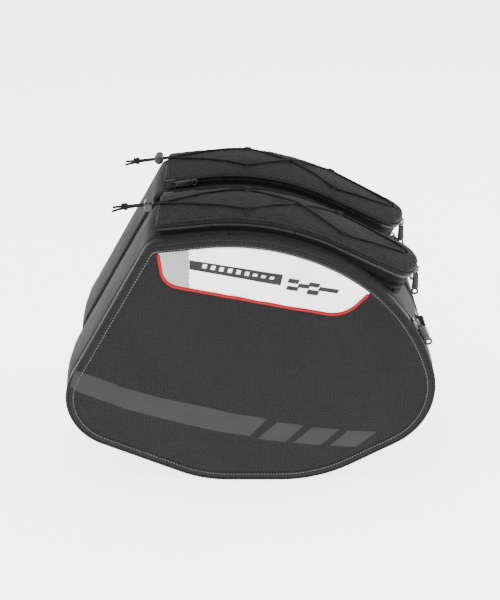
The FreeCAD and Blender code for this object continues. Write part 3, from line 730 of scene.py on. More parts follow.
def spacer_mesh(name, colour):
    """Airmesh cloth: round holes in a knitted face."""
    f = Finish(name)
    spot = f.place(False)
    parts = f.node("ShaderNodeSeparateXYZ", {0: spot}).outputs
    k = math.pi / 0.0032
    a = f.math("ABSOLUTE", f.math("SINE", f.times(f.add(parts[0], parts[2]), k)))
    b = f.math("ABSOLUTE", f.math("SINE", f.times(f.minus(parts[0], parts[2]), k)))
    holes = f.ramp(f.times(a, b), 1.0, 0.0, 0.45, 0.8)
    patches = f.noise(spot, 30.0, 3.0)
    base = f.mixed(holes, shade(colour, 0.25), shade(colour, 1.4))
    height = f.add(f.times(holes, 0.0009), f.times(patches, 0.001))
    return f.set(
        Base_Color=base, Roughness=f.ramp(patches, 0.72, 0.86), Normal=f.bump(height, 1.0, 0.7),
        Sheen_Weight=0.08, Sheen_Roughness=0.5,
    )


def finish(kind):
    """The finish of that kind, made when first asked for."""
    name = f"{kind}_finish"
    known = bpy.data.materials.get(name)
    if known:
        return known
    look = bpy.context.scene.bag_colours
    makers = {
        "ballistic_nylon": lambda: woven(name, look.cloth, 0.0016, True),
        "panel_nylon": lambda: woven(
            name, look.panel, 0.0041, True, slant=True, rough=0.5, relief=0.0008, contrast=1.1
        ),
        "crown_nylon": lambda: woven(name, look.crown, 0.0018, False),
        "bellows_fabric": lambda: woven(name, shade(look.cloth, 0.7), 0.0008, True, rough=0.7),
        "padded_back": lambda: spacer_mesh(name, look.cloth),
        "edge_binding": lambda: woven(name, shade(look.cloth, 0.9), 0.0016, True, rough=0.5, relief=0.0004),
        "lining": lambda: woven(name, look.lining, 0.0006, True, rough=0.5, relief=0.0002),
        "silver_pvc": lambda: silver_sheet(name, look.silver),
        "grey_pvc": lambda: silver_sheet(name, shade(look.silver, 0.22)),
        "reflective_tape": lambda: silver_sheet(name, shade(look.silver, 0.62)),
        "label_print": lambda: print_film(name, (0.007, 0.007, 0.007), 0.42),
        "label_mark": lambda: print_film(name, (0.75, 0.75, 0.76), 0.4),
        "band_print": lambda: print_film(name, look.band, 0.38),
        "red_cord_piping": lambda: braid(name, look.piping, True, 0.0018, 0.0),
        "zip_tape": lambda: woven(name, shade(look.cloth, 0.6), 0.0009, True, rough=0.7),
        "zip_chain": lambda: plastic(name, (0.035, 0.035, 0.036), 0.28, coat=0.3),
        "slider_metal": lambda: plastic(name, (0.05, 0.05, 0.052), 0.3, metal=0.7, coat=0.4),
        "pull_rubber": lambda: plastic(name, (0.006, 0.006, 0.006), 0.45, 0.0001),
        "ring_metal": lambda: plastic(name, (0.35, 0.35, 0.36), 0.25, metal=1.0),
        "elastic_cord": lambda: braid(name, shade(look.cloth, 0.75)),
        "webbing": lambda: woven(name, shade(look.cloth, 0.9), 0.0022, True, relief=0.0008),
        "lock_plastic": lambda: plastic(name, (0.009, 0.009, 0.009), 0.38, coat=0.1),
        "buckle_plastic": lambda: plastic(name, (0.016, 0.016, 0.016), 0.36),
        "hook_loop": lambda: pile(name, look.cloth),
        "thread": lambda: braid(name, look.thread, False, 0.0005),
        "dark_thread": lambda: braid(name, shade(look.thread, 0.25), False, 0.0005),
        "backdrop": lambda: backdrop(name),
    }
    return makers[kind]()


def backdrop(name):
    f = Finish(name)
    grain = f.noise(f.place(False), 3.0)
    base = f.mixed(grain, (0.86, 0.86, 0.865), (0.9, 0.9, 0.9))
    return f.set(Base_Color=base, Roughness=0.9, Emission_Color=(1.0, 1.0, 1.0, 1.0), Emission_Strength=3.4)


def dress(piece, *names):
    piece.data.materials.clear()
    for name in names:
        piece.data.materials.append(finish(name))
    return piece


def dress_node(node, name):
    """Give a carried-over part its finish."""
    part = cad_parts[node]
    if not part.material_slots:
        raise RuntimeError(f"{node} has no material slot")
    for slot in part.material_slots:
        slot.material = finish(name)


# ---- sizes and colours --------------------------------------------------------------
def length(name, text, default):
    return bpy.props.FloatProperty(name=name, description=text, default=default, unit="LENGTH", min=0.0)


def colour(name, text, default):
    return bpy.props.FloatVectorProperty(
        name=name, description=text, default=default, size=3, subtype="COLOR", min=0.0, max=1.0
    )


class BagSizes(bpy.types.PropertyGroup):
    panel_rise: length("Panel Rise", "How far the outer panel's middle stands out of its rim", 0.0045)
    front_bulge: length("Front Bulge", "How far the gusset swells at the front", 0.0055)
    rear_bulge: length("Rear Bulge", "How far the gusset swells at the rear", 0.0012)
    cloth_wall: length("Cloth Wall", "Thickness of the gusset and panel cloth", 0.0022)
    stitch_pitch: length("Stitch Pitch", "Distance from one stitch to the next", 0.0040)
    stitch_length: length("Stitch Length", "Length of one stitch", 0.0026)
    tooth_pitch: length("Tooth Pitch", "Distance between zip teeth of one side", 0.0030)
    channel_pitch: length("Channel Pitch", "Distance between the back pad's sewn channels", 0.052)
    channel_depth: length("Channel Depth", "Depth of the back pad's sewn channels", 0.0032)
    pad_swell: length("Pad Swell", "Most that stuffing pushes a pad out", 0.0028)
    camera_lens: bpy.props.FloatProperty(
        name="Lens", description="Focal length of the studio camera in millimetres", default=72.84, min=20.0
    )


class BagColours(bpy.types.PropertyGroup):
    cloth: colour("Cloth", "Ballistic cloth of the gussets and straps", (0.0080, 0.0079, 0.0078))
    panel: colour("Panel", "Ribbed cloth of the outer panels", (0.0062, 0.0061, 0.0060))
    crown: colour("Crown", "Cloth of the padded crowns", (0.0082, 0.0081, 0.0080))
    lining: colour("Lining", "Cloth inside the bags", (0.055, 0.056, 0.06))
    silver: colour("Silver", "Reflective vinyl of the upper panels", (0.93, 0.935, 0.95))
    piping: colour("Piping", "Corded bead under the vinyl", (0.30, 0.0012, 0.006))
    band: colour("Band", "Printed band across the panels", (0.0065, 0.0065, 0.0066))
    thread: colour("Thread", "Topstitching thread", (0.13, 0.13, 0.13))


# ---- the pieces ---------------------------------------------------------------------
class BAG_OT_stage(bpy.types.Operator):
    """Floor, soft studio lights and the camera"""

    bl_idname = "bag.stage"
    bl_label = "Studio"

    def execute(self, context):
        view = bpy.data.cameras.new("studio_camera")
        view.lens = context.scene.bag_sizes.camera_lens
        camera = bpy.data.objects.new("studio_camera", view)
        context.scene.collection.objects.link(camera)
        camera.location = CAMERA_PLACE
        aim = Vector(CAMERA_AIM) - Vector(CAMERA_PLACE)
        camera.rotation_euler = aim.to_track_quat("-Z", "Y").to_euler()
        context.scene.camera = camera

        bm = bmesh.new()
        bmesh.ops.create_grid(bm, x_segments=1, y_segments=1, size=6.0)
        floor = made("floor", bm)
        floor.location = (0.0, 0.0, -0.0006)
        dress(floor, "backdrop")

        lights = (
            ("top_softbox", (-0.3, -0.2, 2.3), (0.0, 0.0, 0.2), 2.0, 48.0),
            ("front_softbox", (-1.3, -2.2, 1.5), (0.0, -0.1, 0.15), 1.4, 34.0),
            ("rear_softbox", (1.9, 0.6, 1.2), (0.1, 0.0, 0.2), 1.2, 26.0),
        )
        for name, spot, target, size, power in lights:
            lamp = bpy.data.lights.new(name, "AREA")
            lamp.shape = "DISK"
            lamp.size = size
            lamp.energy = power
            held = bpy.data.objects.new(name, lamp)
            held.location = spot
            held.rotation_euler = (Vector(target) - Vector(spot)).to_track_quat("-Z", "Y").to_euler()
            context.scene.collection.objects.link(held)
        world = bpy.data.worlds.new("studio")
        world.use_nodes = True
        world.node_tree.nodes["Background"].inputs[0].default_value = (1.0, 1.0, 1.0, 1.0)
        world.node_tree.nodes["Background"].inputs[1].default_value = 1.0
        context.scene.world = world
        return {"FINISHED"}


# Route of the lacing's free ends on the left bag, metres: out of the crown, knot, tip
TAIL_ROUTES = tuple(
    tuple(tuple(crown_point(*p) * MM) for p in route)
    for route in (
        ((-6.0, 87.1, LACE_O), (-42.0, 87.1, LACE_O), (-56.0, 82.1, 22.2)),
        ((-6.0, 90.9, LACE_O), (-42.0, 90.9, LACE_O), (-56.0, 96.9, 22.2)),
    )
)


class BAG_OT_cord_tails(bpy.types.Operator):
    """Twin free ends of each lacing cord, with their overhand knot"""

    bl_idname = "bag.cord_tails"
    bl_label = "Cord Tails"

    def execute(self, context):
        for side, y in zip(SIDES, (1, -1)):
            knot = self.knot(f"{side}_cord_knot", y)
            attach(knot, f"{side}_crown")
            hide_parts(f"{side}_cord_tails")
            for k, route in enumerate(TAIL_ROUTES):
                curve = bpy.data.curves.new(f"{side}_cord_tail_{k + 1}", "CURVE")
                curve.dimensions = "3D"
                curve.bevel_depth = CORD_R * MM
                curve.bevel_resolution = 3
                curve.use_fill_caps = True
                spline = curve.splines.new("NURBS")
                spline.points.add(len(route) - 1)
                for point, spot in zip(spline.points, route):
                    point.co = (spot[0], spot[1] * y, spot[2], 1.0)
                spline.order_u = 3
                spline.use_endpoint_u = True
                spline.resolution_u = 16
                tail = bpy.data.objects.new(curve.name, curve)
                context.scene.collection.objects.link(tail)
                curve.materials.append(finish("elastic_cord"))
                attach(tail, f"{side}_crown")
                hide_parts(f"{side}_cord_tails")
        return {"FINISHED"}

    def knot(self, name, y):
        """Three turns of cord drawn tight round the two strands."""
        bm = bmesh.new()
        for k, (lean, axis) in enumerate(((-0.5, "Y"), (0.15, "Z"), (0.7, "X"))):
            turn = spun_ring(bm, 3.3 * MM, CORD_R * MM, 24)
            bmesh.ops.rotate(bm, verts=turn, cent=(0, 0, 0), matrix=Matrix.Rotation(math.pi / 2, 3, "Y"))
            bmesh.ops.rotate(bm, verts=turn, cent=(0, 0, 0), matrix=Matrix.Rotation(lean, 3, axis))
            bmesh.ops.translate(bm, verts=turn, vec=((k - 1) * 1.9 * MM, 0, 0))
        bmesh.ops.remove_doubles(bm, verts=bm.verts, dist=1e-6)
        bmesh.ops.translate(bm, verts=bm.verts, vec=crown_point(-40.0, 89.0, LACE_O) * MM)
        bmesh.ops.scale(bm, vec=(1, y, 1), verts=bm.verts)
        bmesh.ops.recalc_face_normals(bm, faces=bm.faces)
        return dress(made(name, bm, smooth=True), "elastic_cord")


class BAG_OT_gusset(bpy.types.Operator):
    """Cloth gusset right round each bag, with its seam beads"""

    bl_idname = "bag.gusset"
    bl_label = "Gussets"

    def execute(self, context):
        sizes = context.scene.bag_sizes
        first = BACK_W + 2.5
        wide = GUSSET_EDGE_W - first

        def place(u, v):
            s = u * SIDE.length
            p, _, n = SIDE.at(s)
            x, z = p[:, 0], p[:, 1]
            front = smooth((-95 - x) / 80) * smooth((z - 8) / 70) * sizes.front_bulge / MM
            rear = smooth((x - 200) / 30) * smooth((z - 20) / 80) * sizes.rear_bulge / MM
            across = np.sin(math.pi * np.clip(v, 0, 1)) ** 0.7
            soft = ripple(s, v * 120, 90.0, 1.0) * 0.5 + ripple(s, v * 120, 34.0, 3.0) * 0.12
            out = across * (front + rear + soft * smooth((z - 6) / 40) * smooth((-x - 60) / 60))
            p = p + n * out[:, None]
            return upright(p, first + v * wide)

        def flat(u, v):
            return u * SIDE.length, v * wide

        body = cloth("gusset", 400, 26, place, flat, inside=(0.0, -85.0, 160.0))
        dress(body, "ballistic_nylon", "lining")
        lined(body, sizes.cloth_wall / MM)
        fit_pair(body, "gusset", ("deck", "rear_gusset", "base_gusset"), "bag")

        p, _, n = SIDE.at(np.linspace(0, SIDE.length, 420, endpoint=False))
        for name, w, r in (("gusset_seam", GUSSET_EDGE_W - 1.2, 1.1), ("back_binding", BACK_W + 3.4, 3.2)):
            q = p - n * r * 0.55
            q[:, 1] = np.maximum(q[:, 1], r)
            seam = dress(bead(name, upright(q, w), r, (0, 1, 0), 8, closed=True), "edge_binding")
            fit_pair(seam, name, (), "bag")
        return {"FINISHED"}


def pad_rows(profile, track, centre, name, columns, inside, flat=None):
    """A form of rows round a track: each row is (inset, level, share of the way to the centre)."""
    rows = np.array(profile, float)
    last = len(rows) - 1

    def place(u, v):
        i = np.rint(v * last).astype(int)
        p, _, n = track.at(u * track.length)
        p = p - n * rows[i, 0][:, None]
        p = p + (np.array(centre) - p) * rows[i, 2][:, None]
        return upright(p, rows[i, 1])

    return cloth(name, columns, last, place, flat, inside)


def quarter(inset, low, high, radius, steps):
    """Rows that roll an edge over from a wall to a face."""
    rise = 1 if high > low else -1
    rows = []
    for k in range(steps + 1):
        a = math.pi / 2 * k / steps
        rows.append((inset + radius * (1 - math.cos(a)), high - rise * radius * (1 - math.sin(a)), 0.0))
    return rows


class BAG_OT_back_pad(bpy.types.Operator):
    """Stuffed back pads with sewn channels"""

    bl_idname = "bag.back_pad"
    bl_label = "Back Pads"

    def execute(self, context):
        sizes = context.scene.bag_sizes
        inner = BACK_W + BACK_T
        profile = [(1.5, inner - 0.6, t) for t in np.linspace(1, 0, 22)]
        profile += quarter(1.5, inner - 0.6, BACK_W + 1.6, 6.0, 6)
        profile += [(7.5, BACK_W + 1.6, t) for t in np.linspace(0, 1, 24)[1:]]

        pad = pad_rows(profile, SIDE, PANEL_CENTRE, "back_pad", 200, (0.0, -23.0, 165.0))
        puff(pad, 5.5, 4.0, sizes.pad_swell / MM)
        p = mesh_points(pad)
        outer = smooth((-p[:, 1] - 18.0) / -5.0 + 1.0)
        reach, rim = rim_depth(p[:, 0], p[:, 2])
        deep = 1 - reach / rim
        pitch = sizes.channel_pitch / MM
        line = (p[:, 2] - 30.0 + 6.0 * np.sin(p[:, 0] / 90.0)) / pitch
        gap = np.abs(line - np.rint(line)) * pitch
        sewn = np.exp(-(gap / 3.0) ** 2) * smooth((deep - 0.06) * 12)
        ring = np.exp(-((deep - 0.06) / 0.018) ** 2)
        p[:, 1] -= np.maximum(sewn, ring) * outer * sizes.channel_depth / MM
        p[:, 2] = np.maximum(p[:, 2], 0.6)
        p[:, 1] = np.minimum(p[:, 1], -BACK_W + 1.4)
        pad.data.vertices.foreach_set("co", (p * MM).ravel())
        dress(pad, "padded_back")
        fit_pair(pad, "back_pad", ("back_panel",), "bag")
        return {"FINISHED"}


class BAG_OT_outer_panel(bpy.types.Operator):
    """Outer panels in one skin from base to door, with bound edge and topstitching"""

    bl_idname = "bag.outer_panel"
    bl_label = "Outer Panels"

    def execute(self, context):
        sizes = context.scene.bag_sizes
        rows = [(0.0, DOOR_RIM_W, 0.0)] * 2 + quarter(0.0, DOOR_RIM_W, FACE_W, ROLL, 7)
        rows += [(ROLL + 2.0, FACE_W, 0.0), (BORDER - 0.6, FACE_W, 0.0), (BORDER, FACE_W - 0.5, 0.0)]
        rows += [(BORDER, FACE_W, t) for t in 1 - np.linspace(1, 0, 46)[1:] ** 1.1]
        inset, height, inward = np.array(rows, float).T
        rim_share = np.ones(len(rows))
        rim_share[:2] = (0.0, 0.5)
        last = len(rows) - 1

        def place(u, v):
            i = np.rint(v * last).astype(int)
            p, _, n = SIDE.at(u * SIDE.length)
            hem = GUSSET_EDGE_W + (DOOR_RIM_W - GUSSET_EDGE_W) * smooth(above_fold(p) / 8.0 + 0.5)
            p = p - n * inset[i][:, None]
            p = p + (PANEL_CENTRE - p) * inward[i][:, None]
            wall = hem + (FACE_W - ROLL - hem) * rim_share[i]
            w = np.where(rim_share[i] < 1, wall, height[i])
            w = np.where(inward[i] > 0, panel_level(p[:, 0], p[:, 1]), w)
            return upright(p, w)

        def flat(u, v):
            i = np.rint(v * last).astype(int)
            p, _, n = SIDE.at(u * SIDE.length)
            p = p - n * inset[i][:, None] + n * ((FACE_W - height[i]) * (inward[i] == 0))[:, None]
            p = p + (PANEL_CENTRE - p) * inward[i][:, None]
            return p[:, 0], p[:, 1]

        panel = cloth("outer_panel", 400, last, place, flat, inside=(0.0, -100.0, 165.0))
        dress(panel, "panel_nylon", "lining", "edge_binding")
        mid = np.array([f.center for f in panel.data.polygons]) / MM
        reach, rim = rim_depth(mid[:, 0], mid[:, 2])
        for face, bound in zip(panel.data.polygons, reach > rim - 0.3):
            face.material_index = 2 if bound else 0
        lined(panel, sizes.cloth_wall / MM)
        for face in panel.data.polygons:
            if face.material_index == 3:
                face.material_index = 1
        fit_pair(panel, "outer_panel", ("lower_shell", "door_shell"), hinge=True)

        lean = ROLL * (1 - math.sqrt(0.5))
        p, _, n = SIDE.at(np.linspace(0, SIDE.length, 460, endpoint=False))
        line = upright(p - n * lean, FACE_W - lean)
        binding = dress(bead("panel_binding", line, 2.2, (0, 1, 0), 10, closed=True), "edge_binding")
        fit_pair(binding, "panel_binding", ("lower_piping", "door_piping"), hinge=True)

        s = np.arange(0, SIDE.length, sizes.stitch_pitch / MM)
        p, t, n = SIDE.at(s)
        line = upright(p - n * (BORDER - 1.7), FACE_W + 0.15)
        up = np.tile((0.0, -1.0, 0.0), (len(s), 1))
        dash = blocks("topstitch", line, upright(t, 0.0), up, (sizes.stitch_length / MM, 0.9, 0.6), 0.7)
        dress(dash, "thread")
        fit_pair(dash, "topstitch", (), hinge=True)
        return {"FINISHED"}


def on_panel(name, lower, upper, columns, rows, lift):
    """A thin print or sheet between two lines of points, laid on the outer panel."""
    lower, upper = np.array(lower, float), np.array(upper, float)

    def spot(u, v):
        return share_of(lower, u) * (1 - v[:, None]) + share_of(upper, u) * v[:, None]

    def place(u, v):
        p = spot(u, v)
        out = lift(p[:, 0], p[:, 1]) if callable(lift) else lift
        return upright(p, panel_level(p[:, 0], p[:, 1]) + out)

    def flat(u, v):
        p = spot(u, v)
        return p[:, 0], p[:, 1]

    return cloth(name, columns, rows, place, flat, inside=(0.0, 0.0, 165.0))


class BAG_OT_reflector(bpy.types.Operator):
    """Silver vinyl upper panels with a blank label, slanted bars and the red corded bead"""

    bl_idname = "bag.reflector"
    bl_label = "Reflectors"

    def execute(self, context):
        edge = Track(REFLECTOR_CORNERS, closed=False)
        lower, _, _ = edge.at(np.linspace(0, edge.length, 400))
        s = np.linspace(0, SIDE.length, 2400, endpoint=False)
        p, _, n = SIDE.at(s)
        rim = p - n * (BORDER - 0.2)

        def off_outline(line):
            """Distance of each point of a line from the bag's outline."""
            return np.hypot(*(line[:, None] - p[None]).transpose(2, 0, 1)).min(1)

        lower = lower[off_outline(lower) > BORDER - 0.2]
        first = int(np.argmin(np.hypot(*(rim - lower[0]).T)))
        last = int(np.argmin(np.hypot(*(rim - lower[-1]).T)))
        upper = rim[first:last]
        sheet = on_panel("reflector", lower, upper, 150, 34, self.wrinkle)
        dress(sheet, "silver_pvc", "silver_pvc", "grey_pvc")
        for face in sheet.data.polygons:
            face.material_index = 2 if face.center.x < -0.0735 else 0
        lined(sheet, 0.8)
        for face in sheet.data.polygons:
            face.material_index = min(face.material_index, 2)
        fit_pair(sheet, "reflector", ("reflector_panel",), "door")

        line, _, _ = edge.at(np.linspace(0, edge.length, 240))
        line = line[off_outline(line) > BORDER + 0.4]
        line = upright(line, panel_level(line[:, 0], line[:, 1]) + 0.6)
        red = dress(bead("red_bead", line, 2.0, (0, 1, 0), 12), "red_cord_piping")
        fit_pair(red, "red_bead", ("red_piping",), "door")

        strip = on_panel("label", [(-73, 303), (37, 282)], [(-73, 315), (40, 296)], 60, 7, self.above)
        marks = [dress(strip, "label_print")]
        for k in range(9):
            x = -58 + k * 10.2 - (k > 5) * 0.5
            z = 307.4 - 0.185 * (x + 58)
            tall = 2.6 if k < 6 else 1.6
            foot = [(x, z - tall), (x + 5.2, z - tall - 0.9)]
            head = [(x + 1.6, z + tall), (x + 6.8, z + tall - 0.9)]
            marks.append(dress(on_panel("mark", foot, head, 3, 3, self.on_label), "label_mark"))
        for x, z, wide, tall in (
            (45, 286, 13, 5.4), (57, 279.6, 14, 5.0), (43, 277, 14, 5.0), (70, 280.6, 13, 5.4),
            (82, 275.0, 11, 5.0), (68, 270.6, 14, 6.0), (93, 273.0, 13, 5.2),
        ):
            foot = [(x, z), (x + wide, z - wide * 0.17)]
            head = [(x + 2.6, z + tall), (x + wide + 2.6, z + tall - wide * 0.17)]
            marks.append(dress(on_panel("mark", foot, head, 5, 3, self.above), "label_print"))
        fit_pair(joined(marks, "label"), "label", (), "door")
        return {"FINISHED"}

    def wrinkle(self, x, z):
        """Height of the vinyl over the panel: soft upright pulls, drawn in under the bound edge."""
        pull = np.sin(x / 6.5 + 1.3 * np.sin(z / 17.0)) * np.exp(-((x - 20.0) / 75.0) ** 2)
        return 0.95 + 0.22 * pull + 0.16 * ripple(x, z, 40.0, 1.1)

    def above(self, x, z):
        return self.wrinkle(x, z) + 0.14

    def on_label(self, x, z):
        return self.wrinkle(x, z) + 0.26


class BAG_OT_printed_band(bpy.types.Operator):
    """Gloss band and slanted blocks printed across the outer panels"""

    bl_idname = "bag.printed_band"
    bl_label = "Printed Band"

    def execute(self, context):
        top = [(-219, 164), (-194, 155), (-156, 139), (-108, 125.5), (-60, 114), (-27, 105), (22, 95.5)]
        low = [(-228, 141), (-217, 133), (-157, 109), (-93, 90.5), (-47, 77.5), (0, 69.5)]
        prints = [dress(on_panel("band", low, top, 90, 10, 0.14), "band_print")]
        for foot, head in (
            ([(9, 66), (45, 60)], [(35, 90.5), (69, 86)]),
            ([(55, 59.5), (91, 55)], [(80, 83), (115, 79)]),
            ([(103, 54.5), (137, 52)], [(126, 77.5), (163, 75)]),
        ):
            prints.append(dress(on_panel("block", foot, head, 12, 10, 0.14), "band_print"))
        fit_pair(joined(prints, "printed_band"), "printed_band", (), hinge=True)
        return {"FINISHED"}


class BAG_OT_main_zip(bpy.types.Operator):
    """Main zip tapes and teeth, one half on the bag and one on the door"""

    bl_idname = "bag.main_zip"
    bl_label = "Main Zips"

    def execute(self, context):
        first, last = door_span(2.0)
        pitch = context.scene.bag_sizes.tooth_pitch / MM
        for k, (name, node, body, w0, w1) in enumerate((
            ("main_zip_bag", "main_chain_bag", "bag", GUSSET_EDGE_W - 2.0, 146.3),
            ("main_zip_door", "main_chain_door", "door", 148.7, DOOR_RIM_W + 2.0),
        )):
            def place(u, v, w0=w0, w1=w1):
                p, _, n = SIDE.at(first + u * (last - first))
                p = p - n * (1.5 + 0.25 * np.cos(v * 2 * math.pi))[:, None]
                return upright(p, w0 + v * (w1 - w0))

            def flat(u, v, w0=w0, w1=w1):
                return u * (last - first), v * (w1 - w0)

            tape = cloth(name, 300, 4, place, flat, inside=(0.0, -147.0, 160.0))
            dress(tape, "zip_tape", "zip_tape")
            lined(tape, 0.7)
            s = np.arange(first + 2 + k * pitch / 2, last - 2, pitch)
            p, t, n = SIDE.at(s)
            line = upright(p - n * 1.1, ZIP_W + (0.75 if k else -0.75))
            teeth = blocks("teeth", line, upright(t, 0.0), upright(n, 0.0), (1.2, 2.1, 1.5), 0.75)
            dress(teeth, "zip_chain")
            fit_pair(joined([tape, teeth], name), name, (node,), body)
        return {"FINISHED"}


def shoulder_drop(s):
    """How far below the crown's straight tail the bag's shoulder lies, at s."""
    p = crown_point(s, 0.0, 0.0)[..., (0, 2)] - SHOULDER_CENTRE
    reach = SHOULDER_R ** 2 - (p @ REAR_RUN) ** 2
    return np.where(s > S_TAIL, np.maximum(p @ REAR_UP - np.sqrt(np.maximum(reach, 0)), 0), 0.0)


class BAG_OT_bellows(bpy.types.Operator):
    """Folded cloth walls under each crown"""

    bl_idname = "bag.bellows"
    bl_label = "Bellows"

    def execute(self, context):
        track = Track(crown_corners(3.0))
        rows = 36

        def spots(u, v):
            p, _, n = track.at(u * track.length)
            bottom = -shoulder_drop(p[:, 0]) - 1.0
            o = bottom + (BELLOWS_TOP - bottom) * v
            pinch = ((1 + np.cos(2 * math.pi * (o + 5.3) / 9.0)) / 2) ** 3 * smooth((1.0 - o) / 2.0)
            soft = np.sin(math.pi * np.clip((o + 0.8) / 9.0 + 0.5, 0, 1)) * 0.6
            p = p - n * (4.0 * pinch - soft * 0.5)[:, None]
            return p, o

        def place(u, v):
            return crown_line(*spots(u, v))

        def flat(u, v):
            return u * track.length, v * 60.0

        wall = cloth("bellows", 300, rows, place, flat, inside=(40.0, -83.0, 330.0))
        dress(wall, "bellows_fabric", "lining")
        lined(wall, 0.9)
        lows = np.linspace(0, 400, 400)
        drops = shoulder_drop(lows)

        def lift(piece):
            """Share of the way up the bellows for each point of a piece."""
            p = mesh_points(piece)
            d = p[:, (0, 2)] - ARC_CENTRE
            turned = FRONT_SLOPE - (np.arctan2(d[:, 1], d[:, 0]) - math.pi / 2)
            s = S_ARC + TOP_R * turned
            o = np.hypot(d[:, 0], d[:, 1]) - TOP_R
            tail = d @ REAR_RUN
            o = np.where(tail > 0, d @ REAR_UP - TOP_R, o)
            s = np.where(tail > 0, S_TAIL + tail, s)
            o = np.where(d @ FRONT_RUN < 0, d @ FRONT_UP - TOP_R, o)
            bottom = -np.interp(s, lows, drops) - 1.0
            return np.clip((o - bottom) / (BELLOWS_TOP - bottom), 0, 1)

        fit_pair(wall, "folded_bellows", ("bellows",), lift=lift)
        return {"FINISHED"}


class BAG_OT_crown(bpy.types.Operator):
    """Padded crowns with a bound and stitched lower edge"""

    bl_idname = "bag.crown"
    bl_label = "Crowns"

    def execute(self, context):
        track = Track(crown_corners(0.6))
        middle = (165.0, CROWN_MID_W)
        profile = [(2.0, "base", t) for t in np.linspace(1, 0, 20)] + [(0.2, "base", 0.0)]
        profile += [(0.0, "wall", 0.0), (0.7, "edge", 0.0), (2.4, "top", 0.0)]
        profile += [(2.4, "top", t) for t in np.linspace(0, 1, 34)[1:]]
        inset, kind, inward = (np.array(column) for column in zip(*profile))

        def place(u, v):
            i = np.rint(v * (len(profile) - 1)).astype(int)
            p, _, n = track.at(u * track.length)
            p = p - n * inset[i][:, None]
            p = p + (np.array(middle) - p) * inward[i][:, None]
            edge = crown_top(p, -0.2)
            base = crown_line(p, CROWN_BASE - 0.1)
            which = kind[i][:, None]
            spots = np.where(which == "edge", edge, crown_top(p, -0.3))
            spots = np.where(which == "wall", base * 0.5 + edge * 0.5, spots)
            return np.where(which == "base", base, spots)

        cap = cloth("crown", 300, len(profile) - 1, place, inside=crown_point(165.0, CROWN_MID_W, 17.0))
        puff(cap, 2.5, 4.0, 1.1)
        p = mesh_points(cap)
        soft = ripple(p[:, 0], p[:, 1] * 1.4, 64.0, 5.0) * 0.5 + ripple(p[:, 0], p[:, 1], 24.0, 1.5) * 0.28
        p[:, 2] += soft * smooth((p[:, 2] - 240) / 40) - 0.35
        cap.data.vertices.foreach_set("co", (p * MM).ravel())
        dress(cap, "crown_nylon")

        q, _, _ = track.at(np.linspace(0, track.length, 330, endpoint=False))
        up = crown_line(q, 1.0) - crown_line(q, 0.0)
        up = np.vstack([up, up[:1]])
        edge = bead("crown_binding", crown_line(q, CROWN_BASE + 0.9), 1.4, up, 8, closed=True)
        dress(edge, "edge_binding")
        fit_pair(edge, "crown_binding", (), "crown")

        s = np.arange(0, track.length, context.scene.bag_sizes.stitch_pitch / MM)
        q, t, n = track.at(s)
        q = q - n * 5.0
        line, up = laid_on(cap, crown_top(q, 6.0), crown_top(q, -6.0), 0.15)
        along = crown_top(q + t, 0.0) - crown_top(q, 0.0)
        size = (context.scene.bag_sizes.stitch_length / MM, 0.7, 0.5)
        dash = dress(blocks("crown_stitch", line, along, up, size, 0.7), "dark_thread")
        fit_pair(cap, "crown_pad", ("crown_shell",), "crown")
        fit_pair(dash, "crown_stitch", (), "crown")
        return {"FINISHED"}


class BAG_OT_crown_zip(bpy.types.Operator):
    """Crown zips: tapes and teeth round three sides of each crown"""

    bl_idname = "bag.crown_zip"
    bl_label = "Crown Zips"

    def execute(self, context):
        track = Track(crown_corners(0.0, closed=False), closed=False)
        pitch = context.scene.bag_sizes.tooth_pitch / MM
        start, end = 0.6, track.length - 0.6
        for k, (name, node, body, o0, o1) in enumerate((
            ("crown_zip_lower", "crown_chain_lower", "bag", BELLOWS_TOP - 0.6, ZIP_MID - 0.9),
            ("crown_zip_upper", "crown_chain_upper", "crown", ZIP_MID + 0.9, CROWN_BASE + 0.6),
        )):
            def place(u, v, o0=o0, o1=o1):
                p, _, n = track.at(start + u * (end - start))
                return crown_line(p - n * 1.7, o0 + v * (o1 - o0))

            def flat(u, v, o0=o0, o1=o1):
                return u * track.length, v * (o1 - o0)

            tape = cloth(name, 240, 2, place, flat, inside=crown_point(165.0, CROWN_MID_W, ZIP_MID))
            dress(tape, "zip_tape", "zip_tape")
            lined(tape, 1.2)
            s = np.arange(start + 1 + k * pitch / 2, end - 1, pitch)
            q, t, n = track.at(s)
            q = q - n * 1.3
            o = ZIP_MID + (0.75 if k else -0.75)
            line = crown_line(q, o)
            along, up = crown_line(q + t, o) - line, crown_line(q + n, o) - line
            teeth = dress(blocks("teeth", line, along, up, (1.2, 2.1, 1.5), 0.75), "zip_chain")
            fit_pair(joined([tape, teeth], name), name, (node,), body)
        return {"FINISHED"}


